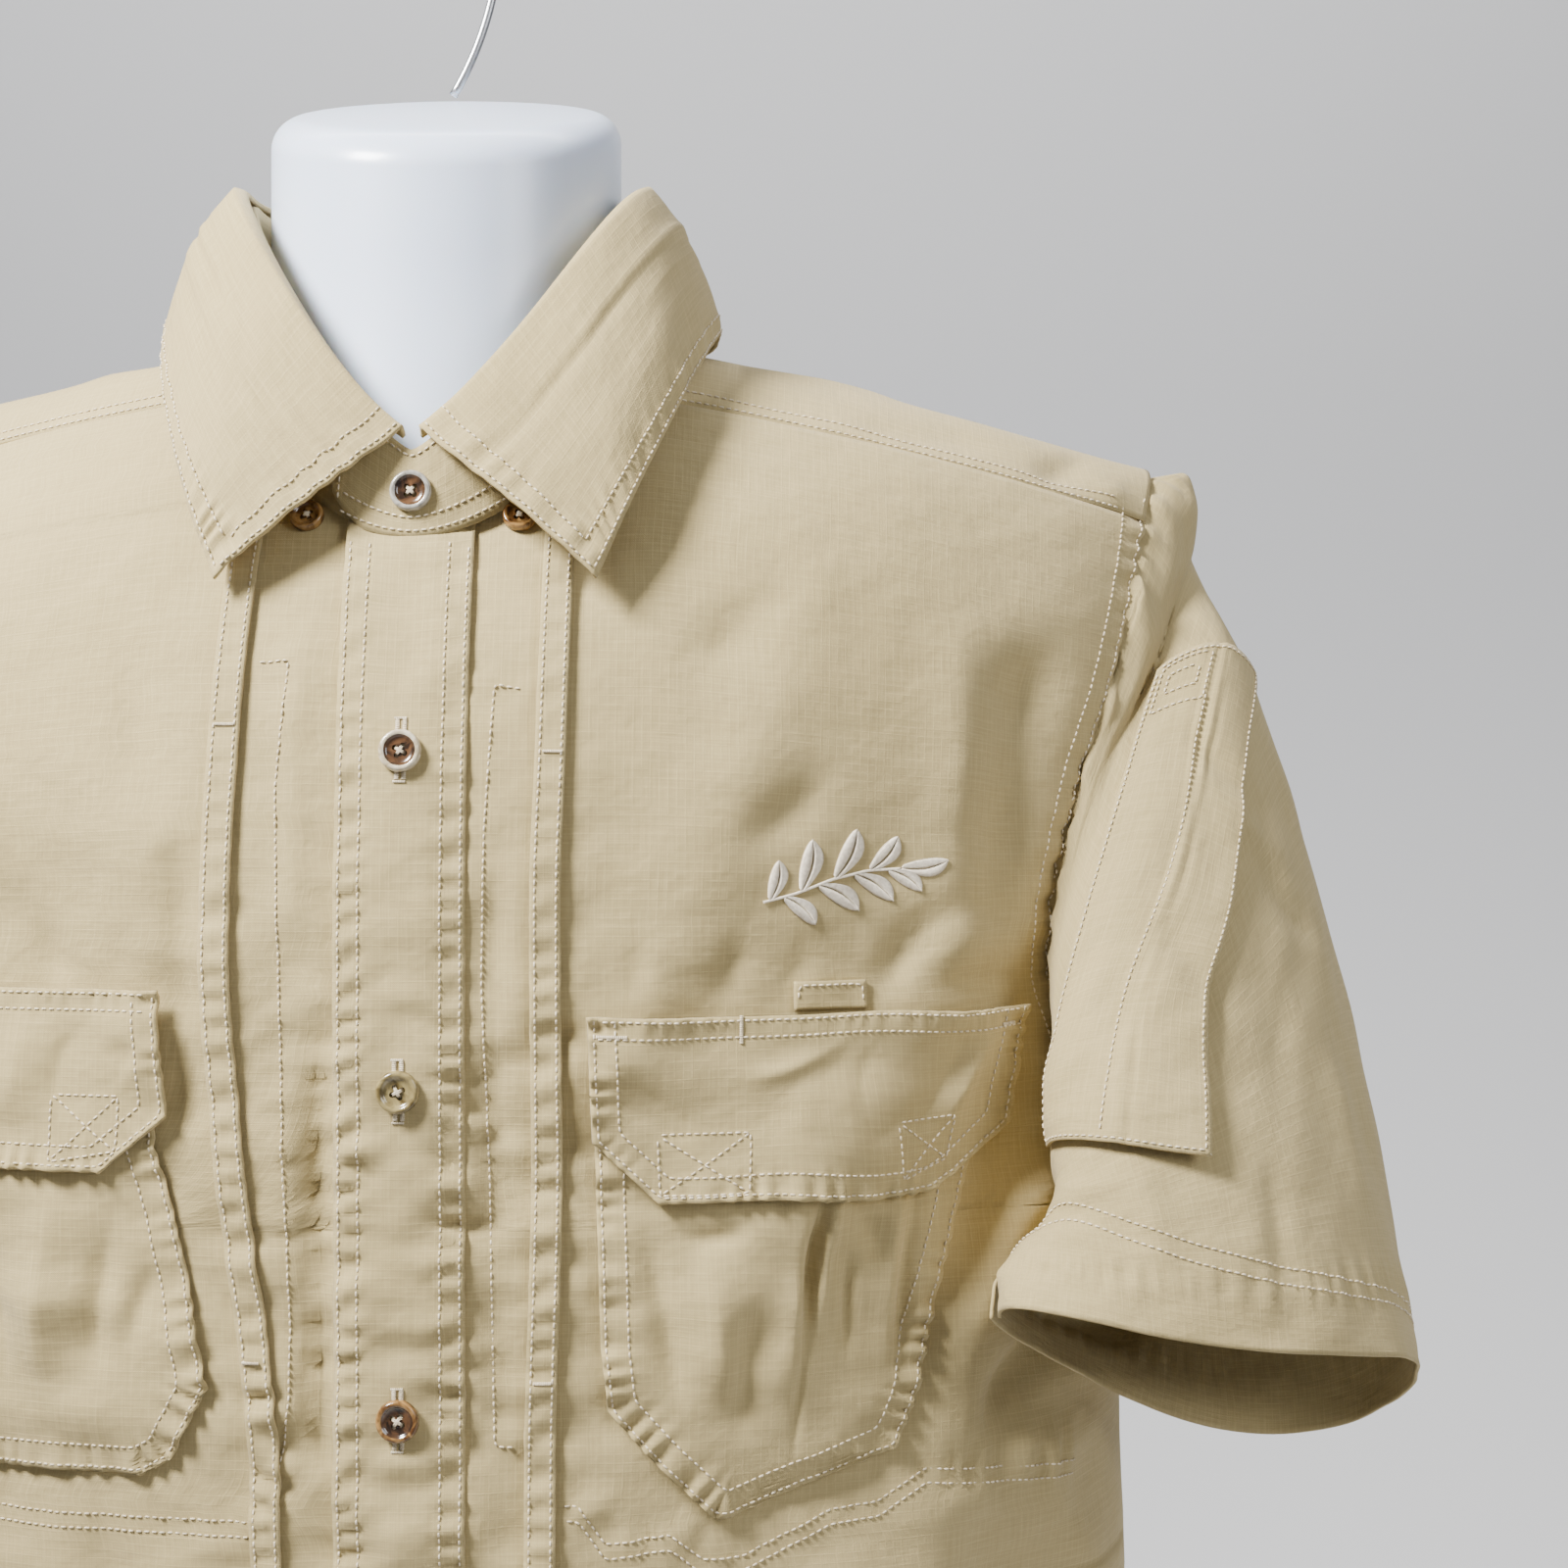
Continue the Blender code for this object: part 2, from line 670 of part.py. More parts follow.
def build_leaf(material):
    turns = [2.0, 6.0, 11.0, 17.0, 24.0, 32.0, 41.0, 51.0, 62.0, 74.0, 87.0, 100.0]
    turns += [114.0, 128.0, 142.0, 155.0, 168.0, 180.0]
    turns += [360.0 - turn for turn in reversed(turns[:-1])]
    outer, inner = [], []
    for share in (0.0, 0.06, 0.12, 0.28, 0.5, 0.75, 1.0):
        outer.append([leaf_point(turn, share, COLLAR_WALL) for turn in turns])
        inner.append([leaf_point(turn, share, 0.0) for turn in turns])
    return build_wall("collar_leaf", outer, inner, material)


def armhole_point(angle):
    """Point of the armhole seam, angle from the top through the front and the armpit."""
    middle = (ARMHOLE_TOP + ARMHOLE_BOTTOM) / 2.0
    half = (ARMHOLE_TOP - ARMHOLE_BOTTOM) / 2.0
    z = middle + half * math.cos(angle)
    reach = ARMHOLE_FRONT if math.sin(angle) > 0.0 else ARMHOLE_BACK
    y = -math.sin(angle) * reach * (1.0 - ARMHOLE_NARROWING * math.cos(angle))
    low, high = (0.10, 0.262)
    for _ in range(26):
        x = (low + high) / 2.0
        way = way_at(x, min(z, ridge_z(x) - 0.00001), back=y > 0.0)
        surface = body_point(turn_at(x, way), way)
        inside = x < table_value(BODY_WIDTHS, z, 1) and abs(surface.y) > abs(y) and z < ridge_z(x)
        low, high = (x, high) if inside else (low, x)
    return Vector((low, y, z))


def clear_of_body(point, gap):
    """Moves a point out of the body's round section until it is clear of it by a gap."""
    if point.z > ARMHOLE_TOP:
        return point
    half_width = table_value(BODY_WIDTHS, point.z, 1) + gap
    depth = (FRONT_DEPTH if point.y < 0.0 else BACK_DEPTH) + gap
    if point.z > CHEST_Z:
        share = (point.z - CHEST_Z) / (ridge_z(point.x) - CHEST_Z)
        depth *= max(0.05, 1.0 - min(share, 1.0) ** TOP_POWER) ** (1.0 / TOP_POWER)
    folds = BACK_FOLDS if point.y > 0.0 else FRONT_FOLDS
    fold = max(0.0, fold_height(folds, point.x, point.z))
    half_width += fold
    depth += fold
    size = (point.x / half_width) ** ROUND_POWER + (abs(point.y) / depth) ** ROUND_POWER
    if size >= 1.0:
        return point
    grow = size ** (-1.0 / ROUND_POWER)
    return Vector((point.x * grow, point.y * grow, point.z))


def sleeve_point(share, angle):
    """Point of the left sleeve: from the armhole seam (0) down to the hem ring (1)."""
    start = armhole_point(angle)
    hem = HEM_RING_MIDDLE + HEM_RING_OUT * math.cos(angle) - HEM_RING_BACK * math.sin(angle)
    hem += HEM_RING_SAG * math.sin(angle) ** 2
    degrees = math.degrees(angle) % 360.0
    leave = Vector([table_value(SLEEVE_LEAVES, degrees, column) for column in (1, 2, 3)])
    arrive = SLEEVE_ARRIVES
    square, cube = share ** 2, share ** 3
    point = (
        start * (2 * cube - 3 * square + 1)
        + leave * (cube - 2 * square + share)
        + hem * (3 * square - 2 * cube)
        + arrive * (cube - square)
    )
    dent = math.exp(-(((share - 0.16) / 0.10) ** 2)) * max(0.0, math.cos(angle - 0.75)) ** 3
    point += Vector((-0.010, 0.008, -0.006)) * dent
    crease = math.sin(3.0 * angle + 5.0 * share) * 0.0028 * ease(0.15, 0.6, share)
    axis = start.lerp(hem, share) - (ring_middle(share))
    point += axis.normalized() * crease
    lower = ease(-0.60, 0.10, -math.cos(angle))
    near_seam = 1.0 - ease(0.0, 0.12, share)
    gap = SLEEVE_CLEARANCE * (1.0 - near_seam) + SLEEVE_TURN_BACK * lower * near_seam
    return clear_of_body(point, gap)


def ring_middle(share):
    armhole_middle = Vector((0.212, 0.0, (ARMHOLE_TOP + ARMHOLE_BOTTOM) / 2.0))
    return armhole_middle.lerp(HEM_RING_MIDDLE, share)


def lifted_grid(grid, lift, closed_round):
    """The grid's points moved out along the normals of their own neighbours."""
    moved = []
    last = len(grid[0]) - 1
    for r, row in enumerate(grid):
        low, high = grid[max(r - 1, 0)], grid[min(r + 1, len(grid) - 1)]
        moved_row = []
        for c, point in enumerate(row):
            before = row[c - 1] if closed_round else row[max(c - 1, 0)]
            after = row[(c + 1) % len(row)] if closed_round else row[min(c + 1, last)]
            normal = (after - before).cross(high[c] - low[c]).normalized()
            moved_row.append(point + normal * lift)
        moved.append(moved_row)
    return moved


def build_sleeve(name, side, material):
    angles = [2.0 * math.pi * i / SLEEVE_SIDES for i in range(SLEEVE_SIDES)]
    inner = [[sleeve_point(share, angle) for angle in angles] for share in SLEEVE_SHARES]
    outer = lifted_grid(inner, WALL, closed_round=True)
    for row in inner + outer:
        for point in row:
            point.x *= side
    return build_wall(name, outer, inner, material, closed_round=True)


def build_sleeve_pocket(material):
    """Long pen pocket laid on the left sleeve, slanting from its head to above its hem."""
    under = []
    for along in spaced(0.0, 1.0, 11):
        shares = spaced(table_value(SLEEVE_POCKET, along, 1), table_value(SLEEVE_POCKET, along, 3), 8)
        angles = spaced(table_value(SLEEVE_POCKET, along, 2), table_value(SLEEVE_POCKET, along, 4), 8)
        under.append([sleeve_point(s, math.radians(a)) for s, a in zip(shares, angles)])
    inner = lifted_grid(under, WALL + SLEEVE_POCKET_GAP, closed_round=False)
    outer = lifted_grid(under, WALL + SLEEVE_POCKET_GAP + WALL, closed_round=False)
    return build_wall("sleeve_pocket", outer, inner, material)


def build_button(name, point, normal, radius, material):
    """A round button: raised rim, dished middle, flat back."""
    profile = (
        # share of radius, share of thickness
        (1.00, 0.40),
        (0.95, 0.90),
        (0.80, 1.00),
        (0.58, 0.62),
    )
    sides = 16
    bm = bmesh.new()
    side_axis = normal.orthogonal().normalized()
    other_axis = normal.cross(side_axis)

    def ring(reach, height):
        made = []
        for i in range(sides):
            angle = 2.0 * math.pi * i / sides
            spot = side_axis * math.cos(angle) + other_axis * math.sin(angle)
            made.append(bm.verts.new(point + spot * reach + normal * height))
        return made

    rings = [ring(radius * 0.93, 0.0)]
    rings += [ring(radius * reach, BUTTON_THICK * height) for reach, height in profile]
    for low, high in zip(rings, rings[1:]):
        for i in range(sides):
            j = (i + 1) % sides
            bm.faces.new((low[i], low[j], high[j], high[i]))
    bm.faces.new(list(reversed(rings[0])))
    bm.faces.new(rings[-1])
    bmesh.ops.recalc_face_normals(bm, faces=bm.faces)
    return finish_mesh(name, bm, material)


def build_front_buttons(material):
    lift = LAY_GAP + PLACKET_WALL + BUTTON_GAP
    for number, z in enumerate(FRONT_BUTTON_Z, start=1):
        point = laid_at(0.0, z, lift)
        normal = (laid_at(0.0, z, lift + 0.01) - point).normalized()
        build_button(f"button_{number}", point, normal, BUTTON_RADIUS, material)


def build_stand_button(material):
    lift = stand_lift(0.0)
    point = stand_point(0.0, 0.45, lift + BUTTON_GAP)
    along = stand_point(4.0, 0.45, lift) - stand_point(-4.0, 0.45, lift)
    up = stand_point(0.0, 0.7, lift) - stand_point(0.0, 0.2, lift)
    normal = along.cross(up).normalized()
    build_button("button_stand", point, normal, BUTTON_RADIUS, material)


def build_tip_buttons(material):
    for name, side in (("button_tip_left", 1), ("button_tip_right", -1)):
        x, z = side * TIP_BUTTON_X, TIP_BUTTON_Z
        point = laid_at(x, z, BUTTON_GAP)
        normal = (laid_at(x, z, 0.01) - laid_at(x, z, 0.0)).normalized()
        build_button(name, point, normal, TIP_BUTTON_RADIUS, material)


def form_ring(way):
    """Ring of the form at one way: front half, then back half, round the body."""
    rise = math.sin(max(way, 0.0)) ** (2.0 / TOP_POWER) if way > 0.0 else 0.0
    turns = spaced(-math.pi / 2, math.pi / 2, 23)
    hip = ease(0.35, 0.0, CHEST_Z + min(way, 0.0))
    points = []
    for back in (False, True):
        for turn in turns[:-1] if not back else list(reversed(turns))[:-1]:
            here = way
            if back:
                here = math.pi - way
            inset = FORM_INSET + 0.022 * hip
            point = body_point(turn, here, inset, folded=False)
            point.x *= 1.0 - 0.10 * ease(0.3, 1.0, rise)
            point.z -= (WALL + FORM_RIDGE_GAP) * rise
            points.append(point)
    return points


def build_form(material):
    """Torso with sloping shoulders and flat base, joined to its neck with the sloping cap."""
    bm = bmesh.new()
    ways = [z - CHEST_Z for z in (0.0, 0.005, 0.10, 0.21, 0.32, 0.43, 0.52)]
    ways += [math.radians(angle) for angle in (0, 16, 32, 46, 58, 68, 77, 84)]
    rings = []
    for way in ways:
        points = form_ring(way)
        if way == ways[0]:
            points = [Vector((p.x * 0.985, p.y * 0.985, 0.0)) for p in points]
        rings.append([bm.verts.new(p) for p in points])
    count = len(rings[0])
    for low, high in zip(rings, rings[1:]):
        for i in range(count):
            j = (i + 1) % count
            bm.faces.new((low[i], low[j], high[j], high[i]))
    bm.faces.new(list(reversed(rings[0])))
    top = rings[-1]
    half = count // 2
    ridge = [bm.verts.new((top[i].co + top[(count - i) % count].co) / 2.0 + Vector((0, 0, 0.0002)))
             for i in range(1, half)]
    left, right = top[0], top[half]
    line = [left] + ridge + [right]
    for i in range(half):
        front = (line[i], top[i], top[i + 1], line[i + 1])
        back = (line[i], top[(count - i) % count], top[count - i - 1], line[i + 1])
        for corners in (front, back):
            bm.faces.new(list(dict.fromkeys(corners)))
    bmesh.ops.recalc_face_normals(bm, faces=bm.faces)
    torso = finish_mesh("form_torso", bm, material)
    neck = build_neck(material)
    join = torso.modifiers.new("join neck", "BOOLEAN")
    join.operation = "UNION"
    join.solver = "EXACT"
    join.object = neck
    return torso


def build_neck(material):
    """Neck post, wider where it runs into the chest, with a rounded, sloping cap."""
    bm = bmesh.new()
    sides = 32
    levels = (
        # height, growth of the section, forward shift
        (0.700, 0.010, -0.004),
        (0.740, 0.006, -0.003),
        (0.775, 0.0025, -0.001),
        (0.800, 0.0, 0.0),
    )
    rings = []
    for height, growth, shift in levels:
        rings.append(neck_ring(bm, sides, growth, shift, height, height))
    for growth, drop in ((0.0, 0.0090), (-0.0012, 0.0040), (-0.0045, 0.0010), (-CAP_INSET, 0.0)):
        rings.append(neck_ring(bm, sides, growth, 0.0, CAP_FRONT_Z - drop, CAP_BACK_Z - drop))
    for low, high in zip(rings, rings[1:]):
        for i in range(sides):
            j = (i + 1) % sides
            bm.faces.new((low[i], low[j], high[j], high[i]))
    bm.faces.new(list(reversed(rings[0])))
    bm.faces.new(rings[-1])
    bmesh.ops.recalc_face_normals(bm, faces=bm.faces)
    neck = finish_mesh("form_neck_join", bm, material)
    neck.hide_render = True
    neck.display_type = "WIRE"
    return neck


def neck_ring(bm, sides, growth, shift, front_z, back_z):
    made = []
    for i in range(sides):
        angle = 2.0 * math.pi * i / sides
        x = (FORM_NECK_HALF_WIDTH + growth) * math.sin(angle)
        y = FORM_NECK_Y + shift - (FORM_NECK_HALF_DEPTH + growth) * math.cos(angle)
        share = 0.5 - 0.5 * math.cos(angle)
        made.append(bm.verts.new((x, y, front_z + (back_z - front_z) * share)))
    return made


def cap_height(y):
    share = (y - FORM_NECK_Y) / (2.0 * (FORM_NECK_HALF_DEPTH - CAP_INSET)) + 0.5
    return CAP_FRONT_Z + (CAP_BACK_Z - CAP_FRONT_Z) * share


def build_hook(material):
    """Steel wire hook standing near the cap's back edge and leaning towards +X."""
    foot = Vector((HOOK_FOOT_X, HOOK_FOOT_Y, cap_height(HOOK_FOOT_Y) + HOOK_FOOT_GAP))
    knee = foot + Vector((HOOK_LEAN, 0.0, HOOK_RISE * 0.45))
    neck = foot + Vector((HOOK_LEAN, 0.0, HOOK_RISE))
    points = []
    for i in range(9):
        share = i / 8
        points.append(foot.lerp(knee, share).lerp(knee.lerp(neck, share), share))
    middle = neck + Vector((-HOOK_BEND, 0.0, 0.0))
    for i in range(1, 18):
        angle = math.radians(HOOK_SWEEP * i / 17)
        points.append(middle + Vector((math.cos(angle), 0.0, math.sin(angle))) * HOOK_BEND)
    curve = bpy.data.curves.new("form_hook", "CURVE")
    curve.dimensions = "3D"
    curve.bevel_depth = HOOK_RADIUS
    curve.bevel_resolution = 2
    curve.use_fill_caps = True
    spline = curve.splines.new("POLY")
    spline.points.add(len(points) - 1)
    for spot, point in zip(spline.points, points):
        spot.co = (*point, 1.0)
    curve.materials.append(material)
    hook = bpy.data.objects.new("form_hook", curve)
    bpy.context.scene.collection.objects.link(hook)
    return hook


def main():
    clear_scene()
    cloth = plain_material("khaki_cloth", (0.42, 0.34, 0.22), 0.85)
    plastic = plain_material("white_plastic", (0.82, 0.82, 0.80), 0.18)
    steel = plain_material("steel_wire", (0.55, 0.55, 0.56), 0.30, 1.0)
    brown = plain_material("brown_button", (0.16, 0.09, 0.05), 0.25)

    build_form(plastic)
    build_hook(steel)
    build_back(cloth)
    build_front("front_left", 1, PLACKET_HALF + SEAM_GAP, 14, cloth)
    build_front("front_right", -1, UNDERLAP, 16, cloth)
    build_yoke(cloth)
    strip_on_front("placket", lambda z: 0.0, PLACKET_HALF, strip_heights(PLACKET_TOP), 5,
                   LAY_GAP, PLACKET_WALL, cloth)
    for name, table in (("welt_left", WELT_LEFT), ("welt_right", WELT_RIGHT)):
        strip_on_front(name, lambda z, t=table: table_value(t, z, 1), WELT_HALF,
                       strip_heights(WELT_TOP), 3, LAY_GAP, WALL, cloth)
    for name, table in (("pocket_left", POCKET_LEFT), ("pocket_right", POCKET_RIGHT)):
        build_patch(name, table, lambda x, z, t=table: pocket_lift(t, x, z), 8, 10, WALL, cloth)
    for name, table, under in (("flap_left", FLAP_LEFT, POCKET_LEFT),
                               ("flap_right", FLAP_RIGHT, POCKET_RIGHT)):
        build_patch(name, table, lambda x, z, t=under: pocket_lift(t, x, z) + FLAP_GAP + WALL,
                    5, 10, WALL, cloth)
    low, high, inner_x, outer_x = TAB_LEFT
    strip_on_front("tab_left", lambda z: (inner_x + outer_x) / 2.0, (outer_x - inner_x) / 2.0,
                   spaced(low, high, 2), 4, LAY_GAP, WALL, cloth)
    build_sleeve("sleeve_left", 1, cloth)
    build_sleeve("sleeve_right", -1, cloth)
    build_sleeve_pocket(cloth)
    build_stand(cloth)
    build_leaf(cloth)
    build_front_buttons(brown)
    build_stand_button(brown)
    build_tip_buttons(brown)


main()
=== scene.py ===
"""The looks of a short-sleeved khaki field shirt on a white torso form.

Metres, +Z up, the shirt's front faces -Y and +X is the wearer's left.
"""

import math

import bpy
import numpy as np
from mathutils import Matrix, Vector


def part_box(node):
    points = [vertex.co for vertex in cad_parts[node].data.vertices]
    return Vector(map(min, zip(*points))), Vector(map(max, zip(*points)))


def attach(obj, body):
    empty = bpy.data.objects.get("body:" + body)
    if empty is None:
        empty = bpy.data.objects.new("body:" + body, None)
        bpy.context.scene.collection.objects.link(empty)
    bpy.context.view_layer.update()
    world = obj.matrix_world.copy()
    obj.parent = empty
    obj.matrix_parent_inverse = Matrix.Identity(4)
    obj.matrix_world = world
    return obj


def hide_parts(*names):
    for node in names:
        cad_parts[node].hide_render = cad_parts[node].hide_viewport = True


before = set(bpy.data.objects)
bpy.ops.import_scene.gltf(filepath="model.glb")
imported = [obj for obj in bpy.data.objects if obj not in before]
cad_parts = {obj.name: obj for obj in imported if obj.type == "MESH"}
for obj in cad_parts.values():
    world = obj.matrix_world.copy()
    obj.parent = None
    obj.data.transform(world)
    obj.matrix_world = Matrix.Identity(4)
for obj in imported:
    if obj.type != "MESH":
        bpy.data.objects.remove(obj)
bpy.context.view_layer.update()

# Torso form: one glossy white plastic moulding, hollow in the real one, with sloping
# shoulders, a flat base and a neck whose closed cap slopes up to its back edge.
# It stands on its base, and the shirt's yoke rests on its shoulders.
CHEST_Z = 0.600
RIDGE_AT_NECK = 0.797
RIDGE_AT_SHOULDER = 0.757
NECK_HALF = 0.072
SHOULDER_HALF = 0.236
FRONT_DEPTH = 0.135
BACK_DEPTH = 0.122
ROUND_POWER = 2.1
TOP_POWER = 2.2
HEM_Z = 0.040
TRUNK_WIDTHS = (
    # height, half width
    (0.000, 0.236),
    (0.200, 0.231),
    (0.454, 0.226),
    (0.560, 0.225),
    (0.640, 0.232),
    (0.700, 0.243),
    (0.800, 0.250),
)
FRONT_FOLDS = (
    # from x, from z, to x, to z, half width, height
    (0.190, 0.640, 0.100, 0.500, 0.016, 0.0045),
    (0.205, 0.580, 0.150, 0.400, 0.018, 0.0050),
    (0.120, 0.700, 0.060, 0.560, 0.015, 0.0030),
    (0.130, 0.420, 0.120, 0.050, 0.022, 0.0060),
    (0.060, 0.330, 0.070, 0.040, 0.020, 0.0045),
    (-0.195, 0.620, -0.110, 0.500, 0.018, 0.0030),
    (-0.130, 0.700, -0.060, 0.600, 0.015, 0.0030),
    (-0.110, 0.400, -0.120, 0.050, 0.022, 0.0055),
    (-0.185, 0.420, -0.190, 0.050, 0.018, -0.0045),
)
BACK_FOLDS = (
    # from x, from z, to x, to z, half width, height
    (0.090, 0.640, 0.080, 0.050, 0.022, 0.0055),
    (-0.085, 0.640, -0.095, 0.050, 0.022, 0.0055),
    (0.000, 0.420, 0.010, 0.050, 0.022, -0.0045),
    (0.170, 0.520, 0.180, 0.050, 0.020, 0.0045),
    (-0.170, 0.520, -0.180, 0.050, 0.020, 0.0045),
)
FOLD_BEFORE = 0.04
FOLD_PAST = 0.05
FORM_INSET = 0.0120
FORM_DROP = 0.0027
NECK_HALF_WIDTH = 0.0575
NECK_HALF_DEPTH = 0.0590
NECK_Y = -0.0285
CAP_FRONT_Z = 0.852
CAP_BACK_Z = 0.894


def smooth_table(table, keys, column):
    """Values of a column at an array of keys, on a smooth curve through the rows."""
    rows = np.array(table, float)
    places, values = rows[:, 0], rows[:, column]
    keys = np.clip(keys, places[0], places[-1])
    low = np.clip(np.searchsorted(places, keys, side="right") - 1, 0, len(places) - 2)
    before, after = np.maximum(low - 1, 0), np.minimum(low + 2, len(places) - 1)
    span = places[low + 1] - places[low]
    share = (keys - places[low]) / span
    rise_in = (values[low + 1] - values[before]) / (places[low + 1] - places[before]) * span
    rise_out = (values[after] - values[low]) / (places[after] - places[low]) * span
    square, cube = share ** 2, share ** 3
    return (
        (2 * cube - 3 * square + 1) * values[low]
        + (cube - 2 * square + share) * rise_in
        + (3 * square - 2 * cube) * values[low + 1]
        + (cube - square) * rise_out
    )


def ease(low, high, value):
    """A smooth step from 0 at low to 1 at high; high may be the smaller one."""
    share = np.clip((value - low) / (high - low), 0.0, 1.0)
    return share * share * (3.0 - 2.0 * share)


def ridge_z(x):
    """Height of the shoulder ridge, level across the neck and sloping outward."""
    reach = np.maximum(0.0, (np.abs(x) - NECK_HALF) / (SHOULDER_HALF - NECK_HALF))
    return RIDGE_AT_NECK - (RIDGE_AT_NECK - RIDGE_AT_SHOULDER) * reach ** 1.15


def line_frame(x, z, from_x, from_z, to_x, to_z):
    """Metres along and across the line between two spots, and its length."""
    run_x, run_z = to_x - from_x, to_z - from_z
    length = math.hypot(run_x, run_z)
    along = ((x - from_x) * run_x + (z - from_z) * run_z) / length
    across = ((x - from_x) * run_z - (z - from_z) * run_x) / length
    return along, across, length


def fold_height(folds, x, z):
    """Height of the broad folds, each easing in before its ends and out past them."""
    total = np.zeros(np.shape(x))
    for *line, half_width, height in folds:
        along, across, length = line_frame(x, z, *line)
        starts = ease(-FOLD_BEFORE, FOLD_PAST, along)
        ends = ease(length - FOLD_BEFORE, length + FOLD_PAST, along)
        total += height * starts * (1.0 - ends) * np.exp(-((across / half_width) ** 2))
    return total


def paired(first, second):
    """Two numbers or arrays as arrays of one shape."""
    return np.broadcast_arrays(np.asarray(first, float), np.asarray(second, float))


def trunk_level(way):
    """Share of the rise to the ridge, metres below the chest line, and nominal height."""
    rise = np.abs(np.sin(np.clip(way, 0.0, math.pi))) ** (2.0 / TOP_POWER)
    below = np.minimum(way, 0.0) + np.minimum(math.pi - way, 0.0)
    return rise, below, CHEST_Z + below + (RIDGE_AT_NECK - CHEST_Z) * rise


def trunk_point(turn, way, inset=0.0, folded=True):
    """Points of the trunk. Turn runs round the body, 0 at its middle. Way is negative below
    the front chest line, in metres, 0 to pi over the shoulders, and more than pi behind."""
    turn, way = paired(turn, way)
    back = way > math.pi / 2
    rise, below, nominal = trunk_level(way)
    close = np.abs(np.cos(np.clip(way, 0.0, math.pi))) ** (2.0 / TOP_POWER)
    half_width = smooth_table(TRUNK_WIDTHS, nominal, 1) - inset
    depth = np.where(back, BACK_DEPTH, FRONT_DEPTH) - inset
    x = np.copysign(half_width * np.abs(np.sin(turn)) ** (2.0 / ROUND_POWER), turn)
    y = depth * np.abs(np.cos(turn)) ** (2.0 / ROUND_POWER) * close
    y = np.where(back, y, -y)
    z = CHEST_Z + below + (ridge_z(x) - CHEST_Z) * rise
    point = np.stack([x, y, z], axis=-1)
    if folded:
        height = np.where(back, fold_height(BACK_FOLDS, x, z), fold_height(FRONT_FOLDS, x, z))
        height = height * ease(0.0, 0.35, np.abs(np.cos(turn))) * (1.0 - np.minimum(rise, 1.0)) ** 0.5
        out = np.stack([x / half_width ** 2, y / depth ** 2, np.zeros_like(x)], axis=-1)
        point += height[..., None] * out / np.linalg.norm(out, axis=-1, keepdims=True)
    return point


def mesh_piece(name, points, faces, material):
    """A smooth-shaded object in the scene, made of points and faces."""
    mesh = bpy.data.meshes.new(name)
    mesh.from_pydata([tuple(p) for p in points], [], faces)
    mesh.update()
    mesh.shade_smooth()
    mesh.materials.append(material)
    piece = bpy.data.objects.new(name, mesh)
    bpy.context.scene.collection.objects.link(piece)
    return piece


def ring_faces(rings, sides, start=0):
    """Faces between rings of equal size that run round one way and are stacked upward."""
    faces = []
    for r in range(rings - 1):
        for i in range(sides):
            j = (i + 1) % sides
            low, high = start + r * sides, start + (r + 1) * sides
            faces.append((low + i, low + j, high + j, high + i))
    return faces


def capped_rings(rings, start=0):
    """Faces of a closed solid between equal rings stacked upward, with both ends filled."""
    sides = len(rings[0])
    top = start + (len(rings) - 1) * sides
    ends = [tuple(reversed(range(start, start + sides))), tuple(range(top, top + sides))]
    return ring_faces(len(rings), sides, start) + ends


def plain_finish(name, colour, roughness, more=()):
    """A material of one colour, with more sockets of its shader set by their names."""
    made = bpy.data.materials.new(name)
    made.use_nodes = True
    shader = made.node_tree.nodes["Principled BSDF"]
    shader.inputs["Base Color"].default_value = (*colour, 1.0)
    shader.inputs["Roughness"].default_value = roughness
    for socket, value in more:
        shader.inputs[socket].default_value = value
    return made


def speckle(made, scale, detail=2.0, distortion=0.0):
    """Noise that runs through the piece in its own metres."""
    nodes, links = made.node_tree.nodes, made.node_tree.links
    place = nodes.new("ShaderNodeTexCoord")
    pattern = nodes.new("ShaderNodeTexNoise")
    pattern.inputs["Scale"].default_value = scale
    pattern.inputs["Detail"].default_value = detail
    pattern.inputs["Distortion"].default_value = distortion
    links.new(place.outputs["Object"], pattern.inputs["Vector"])
    return pattern.outputs["Fac"]


def tint(made, factor, stops):
    """Colours a material by a factor, from the first stop's position and colour to the second's."""
    nodes, links = made.node_tree.nodes, made.node_tree.links
    tones = nodes.new("ShaderNodeValToRGB")
    for element, (position, colour) in zip(tones.color_ramp.elements, stops):
        element.position = position
        element.color = (*colour, 1.0)
    links.new(factor, tones.inputs["Fac"])
    links.new(tones.outputs["Color"], nodes["Principled BSDF"].inputs["Base Color"])


def emboss(made, height, strength, distance, under=None):
    """Bumps a material's surface by a height, over the bump given as under."""
    nodes, links = made.node_tree.nodes, made.node_tree.links
    bump = nodes.new("ShaderNodeBump")
    bump.inputs["Strength"].default_value = strength
    bump.inputs["Distance"].default_value = distance
    links.new(height, bump.inputs["Height"])
    if under is not None:
        links.new(under, bump.inputs["Normal"])
    links.new(bump.outputs["Normal"], nodes["Principled BSDF"].inputs["Normal"])
    return bump.outputs["Normal"]


def white_plastic():
    """Gloss moulding with a faint orange-peel surface and tone that varies in patches."""
    made = plain_finish("white_plastic", (0.80, 0.82, 0.86), 0.30, (
        ("Coat Weight", 0.25), ("Coat Roughness", 0.16),
        ("Subsurface Weight", 0.12), ("Subsurface Scale", 0.01)))
    tint(made, speckle(made, 7.0, 3.0), ((0.35, (0.62, 0.71, 0.88)), (0.70, (0.70, 0.78, 0.94))))
    emboss(made, speckle(made, 260.0), 0.05, 0.0004)
    return made


